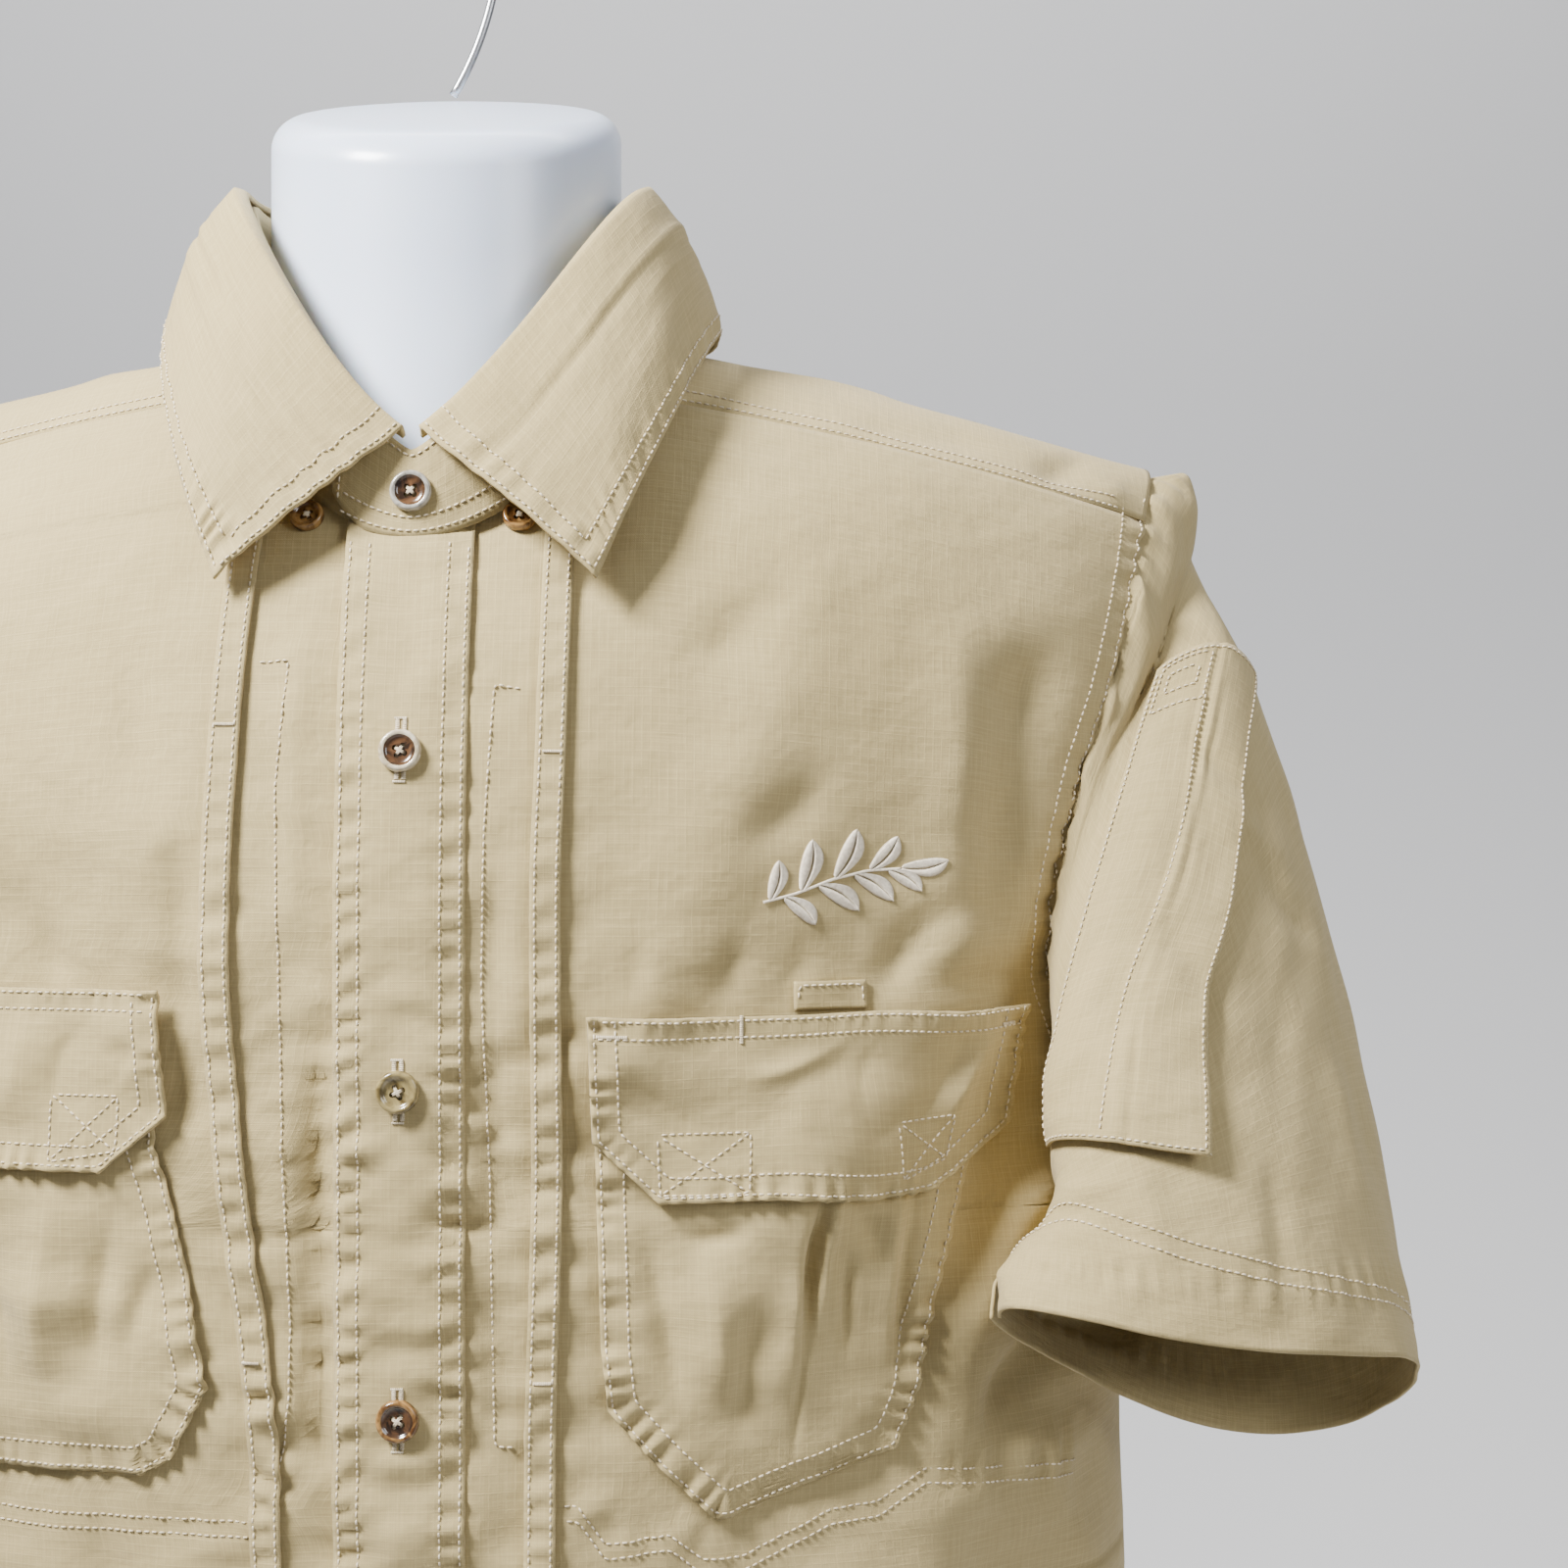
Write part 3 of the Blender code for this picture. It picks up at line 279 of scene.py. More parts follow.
def form_level(way, sides=96):
    """Ring of the torso at one way: across its front, then back behind."""
    half = np.linspace(-math.pi / 2, math.pi / 2, sides // 2 + 1)
    rise = max(0.0, math.sin(way)) ** (2.0 / TOP_POWER) if way > 0.0 else 0.0
    hip = float(ease(0.0, 0.35, 0.35 - (CHEST_Z + min(way, 0.0))))
    inset = FORM_INSET + 0.022 * hip
    front = trunk_point(half[:-1], way, inset, folded=False)
    behind = trunk_point(half[::-1][:-1], math.pi - way, inset, folded=False)
    ring = np.concatenate([front, behind])
    ring[:, 0] *= 1.0 - 0.10 * float(ease(0.3, 1.0, rise))
    ring[:, 2] -= FORM_DROP * rise
    return ring


def torso_form():
    """Points and faces of the trunk, closed flat below and along the shoulder ridge above."""
    ways = [z - CHEST_Z for z in (0.0, 0.002, 0.006, 0.02)] + list(np.linspace(0.06, 0.58, 14) - CHEST_Z)
    ways += list(np.radians([0, 8, 16, 24, 32, 40, 47, 54, 60, 66, 71, 76, 80, 84, 87, 89]))
    rings = [form_level(way) for way in ways]
    for ring, narrowing in ((rings[0], 0.975), (rings[1], 0.990)):
        ring[:, :2] *= narrowing
    rings[0][:, 2] = 0.0
    sides = len(rings[0])
    faces = ring_faces(len(rings), sides)
    faces.append(tuple(reversed(range(sides))))
    top = (len(rings) - 1) * sides
    half = sides // 2
    for i in range(half):
        behind = (top + (sides - i) % sides, top + (sides - i - 1) % sides)
        corners = (behind[0], top + i, top + i + 1, behind[1])
        faces.append(tuple(dict.fromkeys(corners)))
    return np.concatenate(rings), faces


def neck_post(sides=96):
    """Neck flaring into the chest, with a rounded rim round its sloping cap."""
    angles = np.linspace(0.0, 2.0 * math.pi, sides, endpoint=False)
    levels = [
        # height at the front, height at the back, growth of the section, forward shift
        (0.690, 0.690, 0.0130, -0.0050),
        (0.715, 0.715, 0.0080, -0.0036),
        (0.740, 0.740, 0.0055, -0.0025),
        (0.765, 0.765, 0.0032, -0.0012),
        (0.790, 0.790, 0.0010, -0.0002),
        (0.815, 0.815, 0.0, 0.0),
    ]
    rim = 0.0105
    for angle in np.radians(np.linspace(0.0, 84.0, 10)):
        drop = rim * (1.0 - math.sin(angle)) + 0.0006
        levels.append((CAP_FRONT_Z - drop, CAP_BACK_Z - drop, -rim * (1.0 - math.cos(angle)), 0.0))
    for growth, rise in ((-0.016, 0.0000), (-0.026, 0.0008), (-0.038, 0.0014), (-0.048, 0.0016)):
        levels.append((CAP_FRONT_Z + rise, CAP_BACK_Z + rise, growth, 0.0))
    rings = []
    for front_z, back_z, growth, shift in levels:
        share = 0.5 - 0.5 * np.cos(angles) * (NECK_HALF_DEPTH + growth) / NECK_HALF_DEPTH
        x = (NECK_HALF_WIDTH + growth) * np.sin(angles)
        y = NECK_Y + shift - (NECK_HALF_DEPTH + growth) * np.cos(angles)
        rings.append(np.stack([x, y, front_z + (back_z - front_z) * share], axis=-1))
    return np.concatenate(rings), capped_rings(rings)


def combined(piece, other, operation):
    """A new mesh of one piece joined with another, or with the other cut out of it."""
    joint = piece.modifiers.new("joint", "BOOLEAN")
    joint.operation = operation
    joint.solver = "EXACT"
    joint.object = other
    bpy.context.view_layer.update()
    made = bpy.data.meshes.new_from_object(piece.evaluated_get(bpy.context.evaluated_depsgraph_get()))
    piece.modifiers.clear()
    bpy.data.objects.remove(other)
    return made


plastic = white_plastic()
form = mesh_piece("torso_form", *torso_form(), plastic)
form.data = combined(form, mesh_piece("form_neck", *neck_post(), plastic), "UNION")
form.data.set_sharp_from_angle(angle=math.radians(60.0))
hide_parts("form_torso")
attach(form, "root")

# Hanging hook: one bent length of 3 mm galvanised wire, screwed into the cap near its
# back edge with a small collar at its foot.
HOOK_RADIUS = 0.0015
HOOK_FOOT = Vector((-0.0030, 0.0080, 0.8885))
HOOK_LEAN = 0.0165
HOOK_RISE = 0.062
HOOK_BEND = 0.021
HOOK_SWEEP = 205.0


def hook_route():
    """The wire's middle line: a leaning shank, then an open bend."""
    knee = HOOK_FOOT + Vector((HOOK_LEAN, 0.0, HOOK_RISE * 0.45))
    neck = HOOK_FOOT + Vector((HOOK_LEAN, 0.0, HOOK_RISE))
    points = []
    for i in range(25):
        share = i / 24
        points.append(HOOK_FOOT.lerp(knee, share).lerp(knee.lerp(neck, share), share))
    middle = neck - Vector((HOOK_BEND, 0.0, 0.0))
    for i in range(1, 50):
        angle = math.radians(HOOK_SWEEP * i / 49)
        points.append(middle + Vector((math.cos(angle), 0.0, math.sin(angle))) * HOOK_BEND)
    return points


def tube(name, points, radius, material, sides=12):
    """A round wire swept along points, closed at both ends."""
    rings = []
    side_axis = None
    for i, point in enumerate(points):
        before, after = points[max(i - 1, 0)], points[min(i + 1, len(points) - 1)]
        along = (after - before).normalized()
        if side_axis is None:
            side_axis = along.orthogonal().normalized()
        side_axis = (side_axis - along * side_axis.dot(along)).normalized()
        other = along.cross(side_axis)
        angles = [2.0 * math.pi * k / sides for k in range(sides)]
        rings.append([point + (side_axis * math.cos(a) + other * math.sin(a)) * radius for a in angles])
    return mesh_piece(name, [spot for ring in rings for spot in ring], capped_rings(rings), material)


def brushed_wire():
    """Drawn steel whose gloss varies from spot to spot."""
    made = plain_finish("steel_wire", (0.52, 0.53, 0.55), 0.32, (("Metallic", 1.0),))
    nodes, links = made.node_tree.nodes, made.node_tree.links
    spread = nodes.new("ShaderNodeMapRange")
    spread.inputs["To Min"].default_value = 0.24
    spread.inputs["To Max"].default_value = 0.46
    links.new(speckle(made, 900.0), spread.inputs["Value"])
    links.new(spread.outputs["Result"], nodes["Principled BSDF"].inputs["Roughness"])
    return made


wire = brushed_wire()
hook = tube("hanging_hook", hook_route(), HOOK_RADIUS, wire)
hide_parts("form_hook")
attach(hook, "root")

# Khaki ripstop cotton, used for every cloth piece: a light plain weave crossed every few
# millimetres by a thicker thread both ways, washed soft, with slubs and faded patches.
RIP_PITCH = 0.0026
RIP_WIDTH = 0.00034
YARN_PITCH = 0.00052
CLOTH_THICK = 0.0009


def ripstop_cloth(name):
    """Woven cloth on the piece's own grain, which its UV layer holds in metres."""
    made = plain_finish(name, (0.45, 0.38, 0.24), 0.86, (
        ("Sheen Weight", 0.12), ("Sheen Roughness", 0.55), ("Specular IOR Level", 0.25)))
    nodes, links = made.node_tree.nodes, made.node_tree.links
    grain = nodes.new("ShaderNodeUVMap")
    grain.uv_map = "cloth"
    split = nodes.new("ShaderNodeSeparateXYZ")
    links.new(grain.outputs["UV"], split.inputs["Vector"])

    def maths(operation, first, second=None, third=None):
        node = nodes.new("ShaderNodeMath")
        node.operation = operation
        for socket, value in zip(node.inputs, (first, second, third)):
            if value is None:
                continue
            if isinstance(value, (int, float)):
                socket.default_value = value
            else:
                links.new(value, socket)
        return node.outputs["Value"]

    def noise(scale, stretch, detail=2.0):
        mapped = nodes.new("ShaderNodeMapping")
        mapped.inputs["Scale"].default_value = stretch
        links.new(grain.outputs["UV"], mapped.inputs["Vector"])
        texture = nodes.new("ShaderNodeTexNoise")
        texture.inputs["Scale"].default_value = scale
        texture.inputs["Detail"].default_value = detail
        links.new(mapped.outputs["Vector"], texture.inputs["Vector"])
        return texture.outputs["Fac"]

    def thick_threads(axis, unevenness):
        distance = maths("PINGPONG", split.outputs[axis], RIP_PITCH / 2.0)
        line = nodes.new("ShaderNodeMapRange")
        line.inputs["From Min"].default_value = 0.0
        line.inputs["From Max"].default_value = RIP_WIDTH
        line.inputs["To Min"].default_value = 1.0
        line.inputs["To Max"].default_value = 0.0
        links.new(distance, line.inputs["Value"])
        return maths("MULTIPLY", line.outputs["Result"], unevenness)

    warp_slubs = noise(1.0, (2400.0, 70.0, 1.0))
    weft_slubs = noise(1.0, (70.0, 2400.0, 1.0))
    patches = noise(11.0, (1.0, 1.0, 1.0), 4.0)
    upright = thick_threads("X", maths("MULTIPLY_ADD", weft_slubs, 1.1, 0.1))
    level = thick_threads("Y", maths("MULTIPLY_ADD", warp_slubs, 1.1, 0.1))
    rips = maths("MAXIMUM", upright, level)
    yarn_turn = 2.0 * math.pi / YARN_PITCH
    over = maths("SINE", maths("MULTIPLY", split.outputs["X"], yarn_turn))
    under = maths("SINE", maths("MULTIPLY", split.outputs["Y"], yarn_turn))
    weave = maths("MULTIPLY", over, under)

    slubs = maths("ADD", warp_slubs, weft_slubs)
    tone = maths("MULTIPLY_ADD", slubs, 0.30, 0.70 - 0.30)
    tone = maths("MULTIPLY_ADD", patches, 0.30, maths("SUBTRACT", tone, 0.15))
    tone = maths("MULTIPLY_ADD", rips, 0.13, tone)
    tone = maths("MULTIPLY_ADD", weave, 0.02, tone)
    tint(made, tone, ((0.45, (0.315, 0.242, 0.106)), (1.0, (0.560, 0.448, 0.222))))

    creasing = noise(46.0, (1.0, 1.25, 1.0), 3.0)
    fine = maths("MULTIPLY_ADD", rips, 0.55, maths("MULTIPLY", weave, 0.22))
    fine = maths("MULTIPLY_ADD", slubs, 0.45, fine)
    emboss(made, fine, 0.55, 0.00022, under=emboss(made, creasing, 0.55, 0.0030))
    return made


khaki = ripstop_cloth("khaki_ripstop")


def cloth_piece(name, grid, grain, node, thick=CLOTH_THICK,
                flip=False):
    """A thin shell whose outer face is a grid of points, with the cloth's grain in metres."""
    rows, columns = grid.shape[:2]
    there = ~np.isnan(grid[..., 0])
    index = np.full((rows, columns), -1)
    index[there] = np.arange(there.sum())
    faces = []
    for r in range(rows - 1):
        for c in range(columns - 1):
            corners = (index[r, c], index[r, c + 1], index[r + 1, c + 1], index[r + 1, c])
            if min(corners) >= 0:
                faces.append(tuple(int(i) for i in (reversed(corners) if flip else corners)))
    piece = mesh_piece(name, grid[there], faces, khaki)
    lay = piece.data.uv_layers.new(name="cloth")
    corner_points = np.zeros(len(piece.data.loops), int)
    piece.data.loops.foreach_get("vertex_index", corner_points)
    lay.data.foreach_set("uv", grain[there][corner_points].astype(np.float32).ravel())
    solid = piece.modifiers.new("thickness", "SOLIDIFY")
    solid.thickness = thick
    solid.offset = -1.0
    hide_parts(node)
    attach(piece, "root")
    return piece


def metres_along(points):
    """Metres walked along a line of points, from 0 at its first one."""
    return np.concatenate([[0.0], np.cumsum(np.linalg.norm(np.diff(points, axis=0), axis=-1))])


def grid_grain(u, v):
    """Grain from metres across the cloth and metres along it, each a number, row or grid."""
    return np.stack(np.broadcast_arrays(u, v), axis=-1)


def grain_of(grid):
    """Grain of a panel: metres across each row from its first point's x, metres along the rows."""
    steps = np.linalg.norm(np.diff(grid, axis=1), axis=-1)
    across = np.concatenate([np.zeros((grid.shape[0], 1)), np.cumsum(steps, axis=1)], axis=1)
    along = metres_along(grid[:, grid.shape[1] // 2])
    return grid_grain(across + grid[:, :1, 0], along[:, None])


# Fronts: two panels of ripstop cut to the same block, side seams and yoke seams felled.
# The left one laps over the right one at the middle. Soft drag lines fall from the
# armholes, and every double-stitched seam has shrunk the cloth into small puckers.
SEAM_GAP = 0.0004
LAY_GAP = 0.0009
WALL = 0.0015
PLACKET_HALF = 0.019
UNDERLAP = 0.012
ARMHOLE_TOP = 0.757
ARMHOLE_BOTTOM = 0.520
ARMHOLE_FRONT = 0.070
ARMHOLE_BACK = 0.066
ARMHOLE_NARROWING = 0.32
NECKLINE_MIDDLE_Y = -0.032
NECKLINE_HALF_DEPTH = 0.078
YOKE_FRONT_DROP = 0.024
YOKE_BACK_DROP = 0.105
SEAM_X = 0.15
YOKE_SEAM_GAP = SEAM_GAP / 0.12
PANEL_STEP = 0.0030
FRONT_COLUMNS = 92
BACK_COLUMNS = 150
LOW_ROWS_END = 0.4000
ARMPIT_ROWS = (0.5188, 0.5196, 0.5202, 0.5212, 0.5230, 0.5250, 0.5280)
SIDE_TURN = math.pi / 2 - 0.0003
SIDE_FADE = 0.16
YOKE_TUCKS = (0.010, 0.040)
TUCK_DEPTH = 0.0016
FRONT_CREASES = (
    # from x, from z, to x, to z, half width, height, sideways bow
    (0.190, 0.700, 0.192, 0.560, 0.0140, -0.0045, 0.004),
    (0.164, 0.705, 0.160, 0.600, 0.0100, 0.0022, -0.003),
    (0.079, 0.682, 0.116, 0.722, 0.0100, -0.0016, 0.004),
    (0.098, 0.632, 0.128, 0.656, 0.0060, -0.0018, 0.002),
    (0.166, 0.614, 0.140, 0.588, 0.0055, -0.0028, 0.003),
    (0.194, 0.592, 0.152, 0.5905, 0.0050, -0.0024, -0.002),
    (0.184, 0.602, 0.150, 0.600, 0.0040, 0.0012, 0.002),
    (0.070, 0.604, 0.068, 0.588, 0.0030, -0.0010, 0.0),
    (0.101, 0.604, 0.092, 0.586, 0.0040, -0.0014, 0.001),
    (0.118, 0.600, 0.110, 0.587, 0.0032, -0.0010, 0.0),
    (0.205, 0.540, 0.165, 0.470, 0.0080, 0.0035, 0.004),
    (0.212, 0.500, 0.170, 0.440, 0.0070, -0.0036, 0.004),
    (0.190, 0.455, 0.220, 0.380, 0.0090, 0.0030, 0.004),
    (0.062, 0.740, 0.050, 0.700, 0.0060, -0.0015, 0.0),
    (0.028, 0.640, 0.030, 0.450, 0.0040, -0.0012, 0.002),
    (0.090, 0.420, 0.110, 0.300, 0.0100, -0.0040, 0.004),
    (0.160, 0.400, 0.150, 0.200, 0.0120, 0.0040, -0.004),
    (0.030, 0.400, 0.032, 0.100, 0.0060, -0.0020, 0.002),
    (-0.0235, 0.585, -0.0225, 0.440, 0.0042, -0.0030, 0.001),
    (-0.031, 0.700, -0.030, 0.600, 0.0050, 0.0010, 0.001),
    (-0.036, 0.560, -0.030, 0.520, 0.0045, 0.0014, 0.001),
    (-0.064, 0.640, -0.062, 0.540, 0.0060, -0.0016, 0.002),
    (-0.085, 0.700, -0.070, 0.640, 0.0090, -0.0016, 0.003),
    (-0.150, 0.690, -0.110, 0.610, 0.0110, 0.0022, 0.004),
    (-0.190, 0.700, -0.192, 0.560, 0.0140, -0.0036, -0.004),
    (-0.110, 0.610, -0.100, 0.592, 0.0040, -0.0014, 0.001),
    (-0.130, 0.614, -0.138, 0.594, 0.0040, -0.0012, 0.001),
    (-0.205, 0.540, -0.170, 0.470, 0.0080, 0.0032, -0.004),
    (-0.090, 0.440, -0.070, 0.330, 0.0100, -0.0035, 0.004),
    (-0.032, 0.420, -0.034, 0.100, 0.0060, -0.0022, 0.002),
    (-0.160, 0.380, -0.150, 0.180, 0.0120, 0.0040, 0.004),
)
WELT_LEFT = (
    # height, middle
    (0.040, 0.0400),
    (0.450, 0.0405),
    (0.534, 0.0425),
    (0.620, 0.0420),
    (0.660, 0.0432),
    (0.740, 0.0446),
)
WELT_RIGHT = (
    # height, middle
    (0.040, -0.0380),
    (0.449, -0.0390),
    (0.534, -0.0490),
    (0.600, -0.0540),
    (0.667, -0.0520),
    (0.740, -0.0480),
)
WELT_TOP = 0.7400
LOWER_LINES = (
    # the lower edges of the pockets set behind the fronts, as x and z
    ((0.0470, 0.4397), (0.0514, 0.4397), (0.0594, 0.4277), (0.0780, 0.4300), (0.0876, 0.4220),
     (0.0987, 0.4220), (0.1250, 0.4340), (0.1392, 0.4350), (0.1528, 0.4435), (0.2024, 0.4358)),
    ((-0.0401, 0.4740), (-0.0350, 0.4470), (-0.0438, 0.4350), (-0.1075, 0.4350), (-0.2000, 0.4380)),
)
BAG_LINES = (
    # the inner edges of the same pockets
    ((-0.0440, 0.6855), (-0.0340, 0.6860), (-0.0370, 0.6500), (-0.0350, 0.5635), (-0.0326, 0.5060),
     (-0.0320, 0.4700), (-0.0360, 0.4440)),
    ((0.0360, 0.6775), (0.0265, 0.6790), (0.0242, 0.6360), (0.0236, 0.5920), (0.0259, 0.5350),
     (0.0274, 0.4570), (0.0352, 0.4570)),
)
CREASE_DEPTH = 1.5
# puckers beside stitches: pitch along them, reach to each side, height
LOWER_PUCKERS = (0.0100, 0.0075, 0.0011)
BAG_PUCKERS = (0.0090, 0.0040, 0.0005)
ARMHOLE_PUCKERS = (0.0085, 0.0060, 0.0013)
PLACKET_PUCKERS = (0.0120, 0.0070, 0.0011)


def crease_height(creases, x, z):
    """Height of listed soft ridges and troughs, uneven along their length."""
    total = np.zeros(np.shape(x))
    for *line, half_width, height, bow in creases:
        along, across, length = line_frame(x, z, *line)
        share = np.clip(along / length, 0.0, 1.0)
        across = across - bow * 4.0 * share * (1.0 - share)
        fade = min(0.45 * length, 0.03)
        taper = ease(-0.004, fade, along) * (1.0 - ease(length - fade, length + 0.004, along))
        uneven = 1.0 + 0.28 * np.sin(along * 95.0 + line[0] * 400.0)
        total += CREASE_DEPTH * height * uneven * taper * np.exp(-(np.abs(across / half_width) ** 1.7))
    return total


def swells(x, z, size, seed):
    """Soft uneven swells about one size apart, between -1 and 1."""
    gx, gz = x / size, z / size
    ix, iz = np.floor(gx), np.floor(gz)
    fx, fz = gx - ix, gz - iz
    fx, fz = fx * fx * (3.0 - 2.0 * fx), fz * fz * (3.0 - 2.0 * fz)

    def corner(i, j):
        spin = np.sin(i * 127.1 + j * 311.7 + seed * 74.7) * 43758.5453
        return (spin - np.floor(spin)) * 2.0 - 1.0

    low = corner(ix, iz) * (1.0 - fx) + corner(ix + 1, iz) * fx
    high = corner(ix, iz + 1) * (1.0 - fx) + corner(ix + 1, iz + 1) * fx
    return low * (1.0 - fz) + high * fz


def near_line(line, x, z):
    """Distance to a line of points, and metres along it."""
    best = np.full(np.shape(x), 9.0)
    along = np.zeros(np.shape(x))
    walked = 0.0
    for (ax, az), (bx, bz) in zip(line, line[1:]):
        run_x, run_z = bx - ax, bz - az
        length = math.hypot(run_x, run_z)
        share = np.clip(((x - ax) * run_x + (z - az) * run_z) / length ** 2, 0.0, 1.0)
        distance = np.hypot(x - ax - share * run_x, z - az - share * run_z)
        nearer = distance < best
        best = np.where(nearer, distance, best)
        along = np.where(nearer, walked + share * length, along)
        walked += length
    return best, along


def puckers(line, x, z, pitch, reach, height):
    """Small gathers square to a stitched line, deepest beside it and uneven along it."""
    distance, along = near_line(line, x, z)
    beat = along / pitch
    wave = np.sin(2.0 * math.pi * beat + 1.6 * np.sin(1.9 * beat) + 1.1 * np.sin(0.73 * beat + 2.0))
    strength = 0.65 + 0.35 * np.sin(0.41 * beat + 1.0)
    return height * wave * strength * np.exp(-((distance / reach) ** 2))


def armhole_line(side):
    """The armhole seam's front half as seen from the front."""
    seam = armhole_point(np.radians([12, 30, 50, 70, 90, 110, 130]))
    return [(side * point[0], point[2]) for point in seam]


def way_at(x, z, back=False):
    """Way of the trunk's point seen at x and z from the front or the back."""
    x, z = paired(x, z)
    share = np.clip((z - CHEST_Z) / (ridge_z(x) - CHEST_Z), 0.0, 1.0)
    way = np.where(z <= CHEST_Z, z - CHEST_Z, np.arcsin(share ** (TOP_POWER / 2.0)))
    return math.pi - way if back else way


def seam_way(drop, back=False):
    """Way of a yoke seam that runs a drop below the shoulder ridge at SEAM_X."""
    return float(way_at(SEAM_X, float(ridge_z(SEAM_X)) - drop, back))


def turn_at(x, way):
    """Turn of the trunk's point at x on one way."""
    x, way = paired(x, way)
    share = np.clip(np.abs(x) / smooth_table(TRUNK_WIDTHS, trunk_level(way)[2], 1), 0.0, 1.0)
    return np.copysign(np.arcsin(share ** (ROUND_POWER / 2.0)), x)


def halved(keep, drop, dropped, times=24):
    """The place nearest to drop, from keep, where dropped isn't true yet, by halving."""
    for _ in range(times):
        middle = (keep + drop) / 2.0
        hit = dropped(middle)
        keep, drop = np.where(hit, keep, middle), np.where(hit, middle, drop)
    return keep


def armhole_point(angle, grow=0.0):
    """Points of the left armhole seam, angle from its top through the front and the armpit."""
    angle = np.asarray(angle, float)
    middle = (ARMHOLE_TOP + ARMHOLE_BOTTOM) / 2.0
    half = (ARMHOLE_TOP - ARMHOLE_BOTTOM) / 2.0 + grow
    z = middle + half * np.cos(angle)
    reach = np.where(np.sin(angle) > 0.0, ARMHOLE_FRONT, ARMHOLE_BACK)
    y = -np.sin(angle) * (reach * (1.0 - ARMHOLE_NARROWING * np.cos(angle)) + grow)
    wide = smooth_table(TRUNK_WIDTHS, z, 1)

    def outside(x):
        under_ridge = np.minimum(z, ridge_z(x) - 0.00001)
        way = np.where(y > 0.0, way_at(x, under_ridge, back=True), way_at(x, under_ridge))
        surface = trunk_point(turn_at(x, way), way)
        return ~((x < wide) & (np.abs(surface[..., 1]) > np.abs(y)) & (z < ridge_z(x)))

    x = halved(np.full(z.shape, 0.10), np.full(z.shape, 0.262), outside, 26)
    return np.stack([x, y, z], axis=-1)


def in_armhole(point, grow=SEAM_GAP):
    """Whether points lie inside the armhole's outline, seen from the side."""
    middle = (ARMHOLE_TOP + ARMHOLE_BOTTOM) / 2.0
    half = (ARMHOLE_TOP - ARMHOLE_BOTTOM) / 2.0 + grow
    height = (point[..., 2] - middle) / half
    reach = np.where(point[..., 1] < 0.0, ARMHOLE_FRONT, ARMHOLE_BACK)
    reach = reach * (1.0 - ARMHOLE_NARROWING * height) + grow
    return (point[..., 1] / reach) ** 2 + height ** 2 < 1.0


def in_neckline(point, grow=SEAM_GAP):
    """Whether points lie inside the neckline's oval, seen from above."""
    across = point[..., 0] / (NECK_HALF + grow)
    along = (point[..., 1] - NECKLINE_MIDDLE_Y) / (NECKLINE_HALF_DEPTH + grow)
    return (point[..., 2] > 0.65) & (across ** 2 + along ** 2 < 1.0)


def under_collar(point):
    """The fronts run a few millimetres on inside the collar's seam."""
    return in_neckline(point, -0.0045)


def row_edge(way, wanted, safe, cut_out):
    """Turn on each row that is wanted, or the edge of the cut-out before it, by halving."""
    keep = np.full(np.shape(way), safe, float)
    drop = np.broadcast_to(np.asarray(wanted, float), np.shape(way)).copy()
    edge = halved(keep, drop, lambda turn: cut_out(trunk_point(turn, way)))
    return np.where(cut_out(trunk_point(drop, way)), edge, drop)


def trunk_normal(turn, way):
    """The way out of the trunk's surface."""
    step = 0.002
    turn = np.clip(turn, step - math.pi / 2, math.pi / 2 - step)
    around = trunk_point(turn + step, way) - trunk_point(turn - step, way)
    over = trunk_point(turn, way + step) - trunk_point(turn, way - step)
    return unit(np.cross(around, over))


def unit(vectors):
    """Vectors at a length of 1."""
    return vectors / np.linalg.norm(vectors, axis=-1, keepdims=True)


def raised(turn, way, height):
    """Points of the trunk moved out by a height, and the way out there."""
    out = trunk_normal(turn, way)
    return trunk_point(turn, way) + out * height[..., None], out


def front_relief(x, z):
    """How far the fronts' cloth stands above or below its smooth surface."""
    from_armhole = np.minimum(*(near_line(ARMHOLE_LINES[side], x, z)[0] for side in (1, -1)))
    relief = crease_height(FRONT_CREASES, x, z) * (0.12 + 0.88 * ease(0.004, 0.026, from_armhole))
    quiet = ease(0.70, 0.56, z)
    relief += 0.0011 * swells(x, z, 0.036, 3) + 0.0010 * quiet * swells(x, z * 1.5, 0.017, 5)
    middle = np.exp(-((x / 0.062) ** 4)) * ease(0.68, 0.52, z)
    relief += 0.0015 * middle * swells(x, z * 1.7, 0.011, 8)
    for line in LOWER_LINES:
        relief += puckers(line, x, z - 0.002, *LOWER_PUCKERS)
    for line in BAG_LINES:
        relief += puckers(line, x, z, *BAG_PUCKERS)
    for side in (1, -1):
        relief += puckers(ARMHOLE_LINES[side], x, z, *ARMHOLE_PUCKERS)
    for edge in (-PLACKET_HALF - 0.001, PLACKET_HALF + 0.001):
        strength = 0.35 + 0.65 * ease(0.68, 0.55, z)
        relief += strength * puckers(((edge, 0.72), (edge, HEM_Z)), x, z, *PLACKET_PUCKERS)
    return relief


ARMHOLE_LINES = {side: armhole_line(side) for side in (1, -1)}


def laid(x, z, lift):
    """Points on the fronts' cloth seen at x and z, lifted off it, and the way out there."""
    way = way_at(x, z)
    return raised(turn_at(x, way), way, lift + front_relief(x, z))


